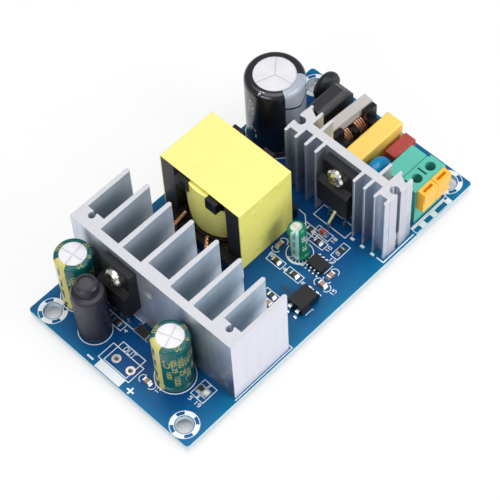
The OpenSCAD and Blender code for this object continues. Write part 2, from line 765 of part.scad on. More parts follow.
bulk_groove_z = 2.5;
bulk_fold = 2.4;
out_cap_groove_z = 2;
out_cap_fold = 1.4;
small_groove_z = 1.6;
small_fold = 0.9;
foot_z = top + sleeve_t;

module at_bulk() translate([bulk[0], bulk[1], top]) children();
module bulk_capacitor_can() color("#d7d4dc") at_bulk() can_body(bulk_r, bulk_h, bulk_groove_z, bulk_shoulder);
module bulk_capacitor_sleeve() color("#1b1a1f")
    at_bulk() can_sleeve(bulk_r, bulk_h, bulk_groove_z, bulk_shoulder, bulk_fold);
module bulk_capacitor_leads() color("#c9c9c9") leads(bulk_leads, thick_lead_r, foot_z);

// Both output capacitors are the same, at the places cap_a and cap_b
module output_can(p) translate([p[0], p[1], top])
    can_body(out_cap_r, out_cap_h, out_cap_groove_z, cap_shoulder);
module output_sleeve(p) translate([p[0], p[1], top])
    can_sleeve(out_cap_r, out_cap_h, out_cap_groove_z, cap_shoulder, out_cap_fold);

module output_capacitor_a_can() color("#dcdce0") output_can(cap_a);
module output_capacitor_a_sleeve() color("#1c6b5c") output_sleeve(cap_a);
module output_capacitor_b_can() color("#dcdce0") output_can(cap_b);
module output_capacitor_b_sleeve() color("#1c6b5c") output_sleeve(cap_b);
module output_capacitor_leads() color("#c9c9c9") leads(cap_leads, wire_lead_r, foot_z);

// The small capacitor leans on the rear edge of its foot
module at_small() translate([small[0], small[1], top + small_lift]) rotate([-small_lean, 0, 0]) children();
module small_capacitor_can() color("#dcdce0")
    at_small() can_body(small_r, small_h, small_groove_z, cap_shoulder);
module small_capacitor_sleeve() color("#1c6b5c")
    at_small() can_sleeve(small_r, small_h, small_groove_z, cap_shoulder, small_fold);
module small_capacitor_leads() color("#c9c9c9")
    leads(small_leads, wire_lead_r, foot_z + small_lift - wire_lead_r * tan(small_lean));

// Output choke: a ferrite drum with a cap on it, its winding and a shrunk sleeve over all
choke_wall = 0.35;
choke_flange_t = 1.6;
choke_post_r = 2;
choke_rim_h = 0.6;
choke_rim_w = 0.5;
choke_slope = 0.9;
choke_bevel = 0.4;
choke_in_r = choke_r - choke_wall;
choke_cap_r = choke_neck_r - choke_wall;

module output_choke_core() color("#2c2c30") translate([choke[0], choke[1], top]) rotate_extrude() polygon([
    [0, 0], [choke_in_r - choke_bevel, 0], [choke_in_r - choke_bevel, choke_flange_t],
    [choke_post_r, choke_flange_t], [choke_post_r, choke_body_h - choke_slope - choke_flange_t],
    [choke_in_r, choke_body_h - choke_slope - choke_flange_t], [choke_in_r, choke_body_h - choke_slope],
    [choke_cap_r, choke_body_h - choke_wall], [choke_cap_r, choke_h - choke_rim_h], [0, choke_h - choke_rim_h]
]);

module output_choke_winding() color("#b5672f") translate([choke[0], choke[1], top]) rotate_extrude()
    translate([choke_post_r, choke_flange_t])
        square([choke_in_r - choke_post_r, choke_body_h - choke_slope - 2 * choke_flange_t]);

module output_choke_sleeve() color("#26262b") translate([choke[0], choke[1], top]) rotate_extrude() polygon([
    [choke_in_r, choke_flange_t], [choke_r, choke_flange_t + choke_bevel],
    [choke_r, choke_body_h - choke_slope],
    [choke_r - choke_bevel, choke_body_h], [choke_neck_r, choke_body_h + choke_bevel],
    [choke_neck_r, choke_h - choke_bevel], [choke_neck_r - choke_bevel, choke_h],
    [choke_neck_r - choke_bevel - choke_rim_w, choke_h],
    [choke_neck_r - choke_bevel - choke_rim_w, choke_h - choke_rim_h], [choke_cap_r, choke_h - choke_rim_h],
    [choke_cap_r, choke_body_h - choke_wall], [choke_in_r, choke_body_h - choke_slope]
]);

module output_choke_leads() color("#c9c9c9") leads(choke_leads, thick_lead_r, top);

// Outline of one core plate: notched on the two open sides
module core_outline() difference() {
    square([core_w, core_l], center = true);
    for (s = [-1, 1]) side(s) polygon([
        [core_w / 2 + eps, -core_mouth / 2], [core_w / 2 + eps, core_mouth / 2],
        [core_w / 2 - core_notch, core_mouth / 4], [core_w / 2 - core_notch, -core_mouth / 4]
    ]);
}

// Half of the core, its plate on z = 0 and its legs up to half the height
module core_half() {
    linear_extrude(core_plate) core_outline();
    linear_extrude(core_h / 2) difference() {
        square([core_w, core_l], center = true);
        circle(r = core_window_r);
        square([core_w + 2 * eps, core_mouth], center = true);
    }
    cylinder(r = core_post_r, h = core_h / 2 - 0.2);
}

module transformer_core_lower() color("#3a3a40") translate([trafo_x, trafo_y, core_z]) core_half();
module transformer_core_upper() color("#3a3a40")
    translate([trafo_x, trafo_y, core_z + core_h]) mirror([0, 0, 1]) core_half();

// Bobbin: tube, two flanges, two upper lugs and a pin rail on each open side
rail_l = core_l - 2;
foot_w = 6;
lug_out = 1.5;
lug_top = 0.4;
notch_x = core_w / 2 - core_notch + bobbin_gap;
lug_x = notch_x + core_notch * (lug_space + 2 * lug_w - core_mouth / 2) / (core_mouth / 2) + bobbin_gap;
upper_z = window_z + window_h;

module transformer_bobbin() color("#222226") translate([trafo_x, trafo_y, 0]) difference() {
    union() {
        translate([0, 0, window_z]) {
            cylinder(r = tube_r, h = window_h);
            cylinder(r = flange_r, h = bobbin_flange_t);
            translate([0, 0, window_h - bobbin_flange_t]) cylinder(r = flange_r, h = bobbin_flange_t);
        }
        for (s = [-1, 1]) side(s) {
            for (t = [-1, 1])
                translate([lug_x, t * (lug_space + lug_w) / 2 - lug_w / 2, upper_z - eps])
                    cube([core_w / 2 + lug_out - lug_x, lug_w, core_plate - lug_top]);
            translate([rail_x, -rail_l / 2, top]) cube([rail_w, rail_l, rail_h]);
            translate([notch_x, -foot_w / 2, core_z]) cube([core_notch, foot_w, core_plate + eps]);
            translate([core_w / 2, -foot_w / 2, core_z])
                cube([rail_x - core_w / 2 + eps, foot_w, rail_h - tape_t]);
        }
    }
    translate([0, 0, window_z - over]) cylinder(r = core_post_r + bobbin_gap, h = window_h + 2 * over);
    translate([-flange_r - over, -lug_space / 2, upper_z - bobbin_flange_t - eps])
        cube([flange_r + over - notch_x + bobbin_gap, lug_space, bobbin_flange_t + over]);
}

// The winding's ends rise through the upper flange between the lugs on the output side
module winding_rise() intersection() {
    translate([0, 0, upper_z - bobbin_flange_t - eps]) cylinder(r = coil_r, h = core_plate);
    translate([-coil_r - over, bobbin_gap - lug_space / 2, top])
        cube([coil_r + over - notch_x, lug_space - 2 * bobbin_gap, core_h]);
}

module transformer_winding() color("#dcd35a") translate([trafo_x, trafo_y, 0]) {
    coil_h = window_h - 2 * bobbin_flange_t;
    bow = (pow(coil_h / 2, 2) + pow(coil_bulge, 2)) / (2 * coil_bulge);
    translate([0, 0, window_z + bobbin_flange_t]) rotate_extrude() intersection() {
        translate([coil_r - bow, coil_h / 2]) circle(r = bow, $fn = 96);
        translate([tube_r, 0]) square([coil_r, coil_h]);
    }
    winding_rise();
}

module transformer_tape() color("#f3ea86") translate([trafo_x - core_w / 2, trafo_y, core_z + core_h / 2])
    rotate([90, 0, 90]) linear_extrude(core_w) difference() {
        rounded([core_l + 2 * tape_t, core_h + 2 * tape_t], tape_t);
        square([core_l, core_h], center = true);
    }

module transformer_pins() color("#c9c9c9") leads(trafo_pin_points, trafo_pin_r, top);

// Litz leads that leave the winding, lie on the pin rail and drop to the board beyond it
litz_top = top + rail_h + litz_r;
litz_rise = 0.7;

module transformer_leads() color("#c26a3a") for (i = [0:len(litz_angles) - 1]) {
    start_r = flange_r + litz_r;
    foot = litz_points[i];
    hull() {
        translate([trafo_x + start_r * cos(litz_angles[i]), trafo_y + start_r * sin(litz_angles[i]),
            litz_top + litz_rise]) sphere(r = litz_r, $fn = 16);
        translate([foot[0], foot[1], litz_top]) sphere(r = litz_r, $fn = 16);
    }
    translate([foot[0], foot[1], 0]) cylinder(r = litz_r, h = litz_top);
}

// Line choke: a closed ferrite frame standing on edge, its lower leg through a two-bay bobbin
module line_place() translate([line[0], line[1], top]) rotate([0, 0, line_turn]) children();

module line_choke_core() color("#b9b3ab") line_place() translate([0, line_leg / 2, 0]) rotate([90, 0, 0])
    linear_extrude(line_leg) difference() {
        translate([-line_l / 2, line_axis_z - line_leg / 2])
            square([line_l, line_h - line_axis_z + line_leg / 2]);
        translate([-line_l / 2 + line_leg, line_axis_z + line_leg / 2])
            square([line_l - 2 * line_leg, line_h - line_axis_z - 1.5 * line_leg]);
    }

// A box between the given limits along X, Y and Z
module line_box(x, y, z) translate([x[0], y[0], z[0]]) cube([x[1] - x[0], y[1] - y[0], z[1] - z[0]]);

module line_choke_bobbin() color("#222226") line_place() difference() {
    union() {
        translate([0, 0, line_axis_z]) cube([line_body_l, 2 * line_tube, 2 * line_tube], center = true);
        line_box([-line_mid_t / 2, line_mid_t / 2], [-line_flange, line_flange],
            [line_flange_z, line_axis_z + line_flange - 0.4]);
        line_box([-line_flange_x - eps, line_flange_x + eps],
            [-line_skirt_y - line_wall, -line_skirt_y], [0, line_skirt_h]);
        for (s = [-1, 1]) side(s) {
            line_box([line_flange_x, line_body_l / 2], [-line_flange, line_flange],
                [line_flange_z, line_axis_z + line_flange - 0.4]);
            line_box([line_flange_x, line_body_l / 2], [line_pin_y - line_wall, line_flange],
                [0, line_foot]);
            line_box([line_flange_x, line_flange_x + line_step_w],
                [-line_skirt_y - line_foot, -line_step_y], [0, line_axis_z + line_flange]);
            line_box([line_flange_x, line_l / 2], [-line_step_y, -line_step_y + line_wall_t],
                [line_foot, line_h - line_wall]);
        }
    }
    translate([0, 0, line_axis_z])
        cube([line_body_l + over, line_leg + 2 * line_gap, line_leg + 2 * line_gap], center = true);
}

// One winding of the line choke in the bay on side s
module line_winding(s) line_place() translate([s * line_bay_x, 0, line_axis_z]) difference() {
    rotate([0, 90, 0]) cylinder(r = line_coil_r, h = line_bay, center = true);
    cube([line_bay + over, 2 * line_tube, 2 * line_tube], center = true);
}

module line_choke_winding_a() color("#c26a3a") line_winding(-1);
module line_choke_winding_b() color("#c26a3a") line_winding(1);
module line_choke_pins() color("#c9c9c9") leads(line_pin_points, thick_lead_r, top);

module x_capacitor() color("#f3d25f")
    translate([xcap[0], xcap[1], top]) soft_block([xcap_l, xcap_t, xcap_h], 0.6);
module x_capacitor_leads() color("#c9c9c9") leads(xcap_leads, wire_lead_r, top);

module fuse() color("#b5453a")
    translate([fuse_at[0], fuse_at[1], top]) soft_block([fuse_l, fuse_t, fuse_h], 0.3);
module fuse_leads() color("#c9c9c9") leads(fuse_leads_at, wire_lead_r, top);

// A dipped disc standing on edge, its axis along Y
module disc(d, t) rotate([90, 0, 0]) rotate_extrude() difference() {
    intersection() {
        translate([d / 2 - t * 0.75, 0]) circle(r = t * 0.75);
        translate([0, -t / 2]) square([d / 2, t]);
    }
    translate([-d, -t]) square([d, 2 * t]);
}

module disc_body(d, t) {
    disc(d, t);
    rotate([90, 0, 0]) cylinder(r = d / 2 - t * 0.75 + eps, h = t, center = true);
}

// Two leads that end in the bottom of a disc; the disc is cut away around them
module disc_leads(points, z) leads(points, wire_lead_r, z);

module y_capacitor() color("#1f9be8") difference() {
    translate([ycap[0], ycap[1], ycap_z]) disc_body(ycap_d, ycap_t);
    disc_leads(ycap_leads, ycap_z - ycap_d / 4);
}
module y_capacitor_leads() color("#c9c9c9") disc_leads(ycap_leads, ycap_z - ycap_d / 4);

module thermistor() color("#2a2a2e") difference() {
    translate([ntc[0], ntc[1], ntc_z]) disc_body(ntc_d, ntc_t);
    disc_leads(ntc_leads, ntc_z - ntc_d / 4);
}
module thermistor_leads() color("#c9c9c9") disc_leads(ntc_leads, ntc_z - ntc_d / 4);

// Bridge rectifier: a block with a bevelled front edge and one cut corner
bridge_lift = 0.8;
module bridge_rectifier() color("#2a2a30")
    translate([bridge[0], bridge[1], top + bridge_lift]) intersection() {
    translate([-bridge_l / 2, 0, 0]) rotate([90, 0, 90]) linear_extrude(bridge_l) polygon([
        [-bridge_t / 2, 0], [bridge_t / 2, 0], [bridge_t / 2, bridge_h - bridge_lift - 0.4],
        [bridge_t / 2 - 0.4, bridge_h - bridge_lift], [-bridge_t / 2 + 1.6, bridge_h - bridge_lift],
        [-bridge_t / 2, bridge_h - bridge_lift - 1.8]
    ]);
    translate([0, bridge_t, 0]) rotate([90, 0, 0]) linear_extrude(2 * bridge_t) polygon([
        [-bridge_l / 2, -over], [bridge_l / 2, -over], [bridge_l / 2, bridge_h - bridge_lift - 2.4],
        [bridge_l / 2 - 2.4, bridge_h - bridge_lift], [bridge_l / 2 - 2.4, bridge_h + over],
        [-bridge_l / 2, bridge_h + over]
    ]);
}
module bridge_rectifier_leads() color("#c9c9c9") leads(bridge_leads, thick_lead_r, top + bridge_lift);

// A gull-wing lead: foot on the board at x = 0, rising to meet the body at x = -reach
module gull_lead(reach, rise, w, foot) translate([0, w / 2, 0]) rotate([90, 0, 0]) linear_extrude(w) polygon([
    [0, 0], [0, foot_t], [-foot + foot_t, foot_t], [-foot - 0.1, rise + foot_t], [-reach, rise + foot_t],
    [-reach, rise], [-foot - 0.25, rise], [-foot, 0]
]);

// Chip body with bevelled sides, long side across the lead rows
module chip_body(l, w, h, lift) translate([0, w / 2, lift]) rotate([90, 0, 0]) linear_extrude(w) polygon([
    [-l / 2 + 0.15, 0], [l / 2 - 0.15, 0], [l / 2, (h - lift) / 2], [l / 2 - 0.15, h - lift],
    [-l / 2 + 0.15, h - lift], [-l / 2, (h - lift) / 2]
]);

// Rows of gull-wing leads on both sides of a body of length l
module gull_rows(l, count, pitch, rise, w, reach) for (s = [-1, 1], i = [0:count - 1])
    translate([s * (l / 2 + reach), (i - (count - 1) / 2) * pitch, 0]) side(s)
        gull_lead(reach + 0.1, rise, w, 0.6);

ic_lift = 0.15;
opto_lift = 0.2;
ic_rise = (ic_h + ic_lift) / 2 - foot_t / 2;
opto_rise = (opto_h + opto_lift) / 2 - foot_t / 2;

module controller_ic() color("#1a1a1c") difference() {
    translate([ic[0], ic[1], top]) chip_body(ic_w, ic_l, ic_h, ic_lift);
    controller_ic_rows();
}
module controller_ic_rows() translate([ic[0], ic[1], top]) gull_rows(ic_w, 4, 1.27, ic_rise, 0.42, 1.05);
module controller_ic_leads() color("#c9c9c9") controller_ic_rows();

module optocoupler() color("#1a1a1c") difference() {
    translate([opto[0], opto[1], top]) chip_body(opto_l, opto_w, opto_h, opto_lift);
    optocoupler_rows();
}
module optocoupler_rows() translate([opto[0], opto[1], top]) gull_rows(opto_l, 2, 2.54, opto_rise, 1, 1.6);
module optocoupler_leads() color("#c9c9c9") optocoupler_rows();

module chips(list, h) for (c = list) translate([c[0], c[1], top]) rotate(c[2]) block([chip_l, chip_w, h]);

module chip_resistors() color("#26221f") {
    chips(resistors, chip_h);
    chips([rect_chip], chip_h);
    block([2.4, 4.4, 1], [shunt[0], shunt[1], top]);
}
module chip_capacitors() color("#b79a7d") chips(capacitors, cap_chip_h);
module chip_diode() color("#8c2f24") translate([diode[0], diode[1], top + diode_r]) rotate([90, 0, 0])
    cylinder(r = diode_r, h = diode_l, center = true);
module indicator_led() color("#e9ecec") translate([led[0], led[1], top]) {
    block([chip_l, chip_w, 0.35]);
    block([chip_l * 0.6, chip_w, 0.8]);
}

// T-shaped tongue on the back of a button, or with a clearance the slot that guides it
module tongue(gap, low, high) {
    translate([-neck_w / 2 - gap, term_front - front_gap - eps, low])
        cube([neck_w + 2 * gap, neck_d + front_gap + 2 * eps, high - low]);
    translate([-tongue_w / 2 - gap, term_front + neck_d - gap, low])
        cube([tongue_w + 2 * gap, tongue_d - neck_d + 2 * gap, high - low]);
}

// Terminal: a housing with two poles; each has a wire hole, a probe slot and a guided button
module pole_cuts(x) {
    translate([x + wire_shift, wire_y, top + term_h - wire_depth])
        cylinder(r = wire_r, h = wire_depth + over);
    block([slot_w, slot_l, slot_depth + over], [x + slot_shift, wire_y + 0.6, top + term_h - slot_depth]);
    block([2 * clip_half + 0.2, clip_depth + 0.2, clip_z + clip_t - top + over],
        [x + clip_shift, wire_y + 1.2, top - over]);
    translate([x + button_shift, 0, 0])
        tongue(button_gap, tongue_z - button_travel - 2 * button_gap, tongue_z + tongue_h + button_gap);
}

module terminal_housing() color("#5fc8b0") difference() {
    union() {
        block([term_w, term_d, term_h], [term[0], term[1], top]);
        translate([term[0] + term_w / 2 - eps, term_front + front_gap, top + rib_lift])
            cube([rib_t, rib_l, term_h - rib_lift]);
    }
    for (x = poles) pole_cuts(x);
    block([term_w + 2 * rib_t + over, seam_w, over], [term[0], term_front + seam_y, top + term_h - seam_w]);
}

// Press button: a block with a screwdriver pocket, a stepped front and a tongue at its back
module press_button(x) translate([x + button_shift, 0, 0]) {
    difference() {
        block([button_w, button_t, button_h], [0, term_front - button_t / 2 - front_gap, button_z]);
        block([pocket_l, pocket_w, pocket_depth + over],
            [0, term_front - front_gap - button_t / 2, button_z + button_h - pocket_depth]);
        block([button_w + over, 2 * button_step, button_h - button_lip],
            [0, term_front - button_t - front_gap, button_z - eps]);
    }
    tongue(0, tongue_z, tongue_z + tongue_h);
}

module terminal_button_1() color("#f7b23c") press_button(poles[0]);
module terminal_button_2() color("#f7b23c") press_button(poles[1]);

// Clip under each wire hole, with two tails through the board
module terminal_clips() color("#c9c9c9") {
    for (x = poles)
        block([2 * clip_half, clip_depth, clip_t], [x + clip_shift, wire_y + 1.2, clip_z]);
    leads(clip_points, clip_pin_r, clip_z + eps);
}

circuit_board();
solder_joints();
heatsink_screws();
package_screws();
output_heatsink();
input_heatsink();
rectifier_body();
rectifier_leads();
transistor_body();
transistor_leads();
bulk_capacitor_can();
bulk_capacitor_sleeve();
bulk_capacitor_leads();
output_capacitor_a_can();
output_capacitor_a_sleeve();
output_capacitor_b_can();
output_capacitor_b_sleeve();
output_capacitor_leads();
small_capacitor_can();
small_capacitor_sleeve();
small_capacitor_leads();
output_choke_core();
output_choke_winding();
output_choke_sleeve();
output_choke_leads();
transformer_core_lower();
transformer_core_upper();
transformer_bobbin();
transformer_winding();
transformer_tape();
transformer_pins();
transformer_leads();
line_choke_core();
line_choke_bobbin();
line_choke_winding_a();
line_choke_winding_b();
line_choke_pins();
x_capacitor();
x_capacitor_leads();
fuse();
fuse_leads();
y_capacitor();
y_capacitor_leads();
thermistor();
thermistor_leads();
bridge_rectifier();
bridge_rectifier_leads();
controller_ic();
controller_ic_leads();
optocoupler();
optocoupler_leads();
chip_resistors();
chip_capacitors();
chip_diode();
indicator_led();
terminal_housing();
terminal_button_1();
terminal_button_2();
terminal_clips();
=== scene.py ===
"""Looks of the open frame power supply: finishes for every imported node, board print and small details."""
import json
import math

import bmesh
import bpy
from mathutils import Matrix, Vector
from mathutils.bvhtree import BVHTree

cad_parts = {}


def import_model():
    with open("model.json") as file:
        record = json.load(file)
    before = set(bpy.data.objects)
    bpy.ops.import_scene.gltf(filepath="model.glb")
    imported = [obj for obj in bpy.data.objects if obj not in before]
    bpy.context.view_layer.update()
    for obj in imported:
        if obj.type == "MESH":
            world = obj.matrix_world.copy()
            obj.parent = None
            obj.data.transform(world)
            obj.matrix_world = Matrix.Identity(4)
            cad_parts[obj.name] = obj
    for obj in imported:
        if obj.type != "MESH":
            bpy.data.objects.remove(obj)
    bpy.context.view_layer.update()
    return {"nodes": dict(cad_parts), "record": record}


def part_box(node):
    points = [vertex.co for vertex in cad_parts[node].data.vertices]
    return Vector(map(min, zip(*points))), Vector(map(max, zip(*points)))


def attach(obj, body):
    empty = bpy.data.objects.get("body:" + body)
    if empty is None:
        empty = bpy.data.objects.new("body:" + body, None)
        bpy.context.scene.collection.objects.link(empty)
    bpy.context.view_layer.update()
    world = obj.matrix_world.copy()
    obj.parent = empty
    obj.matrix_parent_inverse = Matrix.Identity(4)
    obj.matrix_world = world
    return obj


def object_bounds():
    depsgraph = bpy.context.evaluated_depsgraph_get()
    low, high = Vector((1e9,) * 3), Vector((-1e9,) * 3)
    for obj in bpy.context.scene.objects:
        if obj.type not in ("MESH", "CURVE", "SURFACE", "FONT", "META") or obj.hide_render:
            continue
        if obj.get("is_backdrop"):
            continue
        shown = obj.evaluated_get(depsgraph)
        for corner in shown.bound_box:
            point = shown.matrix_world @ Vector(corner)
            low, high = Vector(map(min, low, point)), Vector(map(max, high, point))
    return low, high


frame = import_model()

MM = 0.001
PI = math.pi
ROOT = "supply"  # the body that carries every piece made here


# ---------------------------------------------------------------- places read from the frame

def centre(node):
    """Middle of a node's box."""
    lo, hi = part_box(node)
    return (Vector(lo) + Vector(hi)) / 2


def solids(node):
    """The (low, high) corners of each separate solid in a node, from left to right."""
    bm = bmesh.new()
    bm.from_mesh(frame["nodes"][node].data)
    bmesh.ops.remove_doubles(bm, verts=bm.verts, dist=0.001 * MM)
    left = set(bm.verts)
    found = []
    while left:
        stack = [left.pop()]
        island = []
        while stack:
            vert = stack.pop()
            island.append(vert.co.copy())
            for edge in vert.link_edges:
                other = edge.other_vert(vert)
                if other in left:
                    left.remove(other)
                    stack.append(other)
        low = Vector([min(co[i] for co in island) for i in range(3)])
        high = Vector([max(co[i] for co in island) for i in range(3)])
        found.append((low, high))
    bm.free()
    return sorted(found, key=lambda pair: (pair[0].x, pair[0].y))


def head_of(node):
    """Middle of the highest face of a node."""
    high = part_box(node)[1][2]
    crown = [v.co for v in frame["nodes"][node].data.vertices if v.co.z > high - 0.3 * MM]
    low, top = ([end([co[i] for co in crown]) for i in range(3)] for end in (min, max))
    return (Vector(low) + Vector(top)) / 2


def board_mount(name):
    """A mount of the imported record, by name."""
    return next(m for m in frame["record"]["mounts"] if m["name"] == name)


def edges(node):
    """The left, front, right and back of a node's box, in mm."""
    low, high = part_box(node)
    return low[0] / MM, low[1] / MM, high[0] / MM, high[1] / MM


def polar(x, y, radius, degrees):
    """The point at that radius and angle from (x, y)."""
    turn = math.radians(degrees)
    return x + radius * math.cos(turn), y + radius * math.sin(turn)


def surface(node):
    """A node's surface, for dropping ink onto it."""
    mesh = frame["nodes"][node].data
    return BVHTree.FromPolygons([v.co for v in mesh.vertices], [list(p.vertices) for p in mesh.polygons])


BOARD_LOW, BOARD_HIGH = (Vector(v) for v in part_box("circuit_board"))
TOP = BOARD_HIGH.z


# ---------------------------------------------------------------- shader building blocks

class Shader:
    """A node material with one Principled BSDF and short helpers for procedural detail."""

    def __init__(self, name, colour, roughness=0.5, metallic=0.0, **sockets):
        self.material = bpy.data.materials.new(name)
        self.material.use_nodes = True
        self.nodes = self.material.node_tree.nodes
        self.links = self.material.node_tree.links
        self.bsdf = self.nodes["Principled BSDF"]
        self.set("Base Color", (*colour, 1.0))
        self.set("Roughness", roughness)
        self.set("Metallic", metallic)
        for key, value in sockets.items():
            self.set(key.replace("_", " ").title().replace("Ior", "IOR"), value)
        self.place = self.add("ShaderNodeTexCoord").outputs["Object"]
        self.normal = self.add("ShaderNodeNewGeometry").outputs["Normal"]
        self.height = None

    def set(self, socket, value):
        self.bsdf.inputs[socket].default_value = value

    def add(self, kind, **values):
        node = self.nodes.new(kind)
        for key, value in values.items():
            setattr(node, key, value)
        return node

    def link(self, source, target):
        self.links.new(source, target)

    def feed(self, socket, source):
        self.link(source, self.bsdf.inputs[socket])

    def math(self, operation, *values):
        node = self.add("ShaderNodeMath", operation=operation)
        for index, value in enumerate(values):
            if isinstance(value, (int, float)):
                node.inputs[index].default_value = value
            else:
                self.link(value, node.inputs[index])
        return node.outputs[0]

    def times(self, first, *others):
        """The product of two or more values."""
        for other in others:
            first = self.math("MULTIPLY", first, other)
        return first

    def most(self, first, *others):
        """The largest of two or more values."""
        for other in others:
            first = self.math("MAXIMUM", first, other)
        return first

    def squares(self, first, second):
        """The sum of two squares."""
        return self.math("ADD", self.times(first, first), self.times(second, second))

    def axes(self, vector=None):
        """X, Y and Z of a vector, or of the place in metres."""
        split = self.add("ShaderNodeSeparateXYZ")
        self.link(vector or self.place, split.inputs[0])
        return split.outputs

    def stretched(self, scale):
        """Object coordinates multiplied per axis, in 1/metre."""
        node = self.add("ShaderNodeVectorMath", operation="MULTIPLY")
        self.link(self.place, node.inputs[0])
        node.inputs[1].default_value = scale
        return node.outputs[0]

    def noise(self, scale, detail=3.0, vector=None, roughness=0.5):
        node = self.add("ShaderNodeTexNoise")
        node.inputs["Scale"].default_value = scale
        node.inputs["Detail"].default_value = detail
        node.inputs["Roughness"].default_value = roughness
        self.link(vector or self.place, node.inputs["Vector"])
        return node.outputs["Fac"]

    def span(self, source, low, high, to_low=0.0, to_high=1.0):
        """Maps low..high to to_low..to_high, clamped."""
        node = self.add("ShaderNodeMapRange")
        node.inputs["From Min"].default_value = low
        node.inputs["From Max"].default_value = high
        node.inputs["To Min"].default_value = to_low
        node.inputs["To Max"].default_value = to_high
        self.link(source, node.inputs["Value"])
        return node.outputs["Result"]

    def between(self, source, low, high, soft):
        """1 where low < source < high, with soft edges."""
        rise = self.span(source, low - soft, low + soft)
        fall = self.span(source, high - soft, high + soft, 1.0, 0.0)
        return self.times(rise, fall)

    def mix(self, factor, first, second):
        """Colour mix; first and second are colours or sockets."""
        node = self.add("ShaderNodeMix", data_type="RGBA")
        for name, value in (("A", first), ("B", second)):
            socket = [s for s in node.inputs if s.name == name and s.type == "RGBA"][0]
            if isinstance(value, tuple):
                socket.default_value = (*value, 1.0)
            else:
                self.link(value, socket)
        factor_in = [s for s in node.inputs if s.name == "Factor" and s.type == "VALUE"][0]
        self.link(factor, factor_in)
        return [s for s in node.outputs if s.type == "RGBA"][0]

    def around(self, middle, start=0.0, turn=PI):
        """Angle about a vertical axis through middle, from start, wrapped to -turn..turn; and the radius."""
        x, y, _ = self.axes()
        dx = self.math("SUBTRACT", x, middle[0])
        dy = self.math("SUBTRACT", y, middle[1])
        angle = self.math("SUBTRACT", self.math("ARCTAN2", dy, dx), start)
        return self.math("WRAP", angle, turn, -turn), self.math("SQRT", self.squares(dx, dy))

    def waves(self, source, pitch):
        """0..1 and back along source, once each pitch."""
        return self.math("PINGPONG", self.math("DIVIDE", source, pitch / 2), 1.0)

    def colour(self, source):
        self.feed("Base Color", source)

    def rough(self, source):
        self.feed("Roughness", source)

    def bump(self, source, depth, strength=1.0):
        """Adds a height field, depth in metres."""
        node = self.add("ShaderNodeBump")
        node.inputs["Strength"].default_value = strength
        node.inputs["Distance"].default_value = depth
        self.link(source, node.inputs["Height"])
        if self.height is not None:
            self.link(self.height, node.inputs["Normal"])
        self.height = node.outputs["Normal"]
        self.feed("Normal", self.height)

    def rounded_edges(self, radius):
        """Softens the shading of sharp edges by a small radius. Comes before any bump."""
        node = self.add("ShaderNodeBevel", samples=4)
        node.inputs["Radius"].default_value = radius
        self.height = node.outputs["Normal"]
        self.feed("Normal", self.height)


def dress(node, shader):
    """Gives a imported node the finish."""
    data = frame["nodes"][node].data
    data.materials.clear()
    data.materials.append(shader.material)


# ---------------------------------------------------------------- finishes

SOFT_EDGE = 0.1 * MM


def shaded(colour, share):
    """A colour made lighter or darker, at most white."""
    return tuple(min(1.0, c * share) for c in colour)


def plastic(name, colour, roughness=0.4, grain=0.02, grain_scale=9000, vary=0.08, shine=0.4):
    """Moulded plastic: soft edges, a fine skin, grain mm deep, and slight unevenness of tone."""
    s = Shader(name, colour, roughness, Specular_Ior_Level=shine)
    s.rounded_edges(SOFT_EDGE)
    s.colour(s.mix(s.noise(160, 4), shaded(colour, 1 - vary), shaded(colour, 1 + vary)))
    s.bump(s.noise(grain_scale, 2), grain * MM, 0.4)
    s.rough(s.span(s.noise(900, 3), 0.3, 0.7, roughness * 0.85, roughness * 1.2))
    return s


def metal(name, colour, roughness):
    """Plated or tinned metal with a lightly handled surface."""
    s = Shader(name, colour, roughness, 1.0)
    s.rounded_edges(0.06 * MM)
    s.rough(s.span(s.noise(1200, 4), 0.3, 0.7, roughness * 0.7, roughness * 1.3))
    s.bump(s.noise(2500, 3), 0.02 * MM, 0.3)
    return s


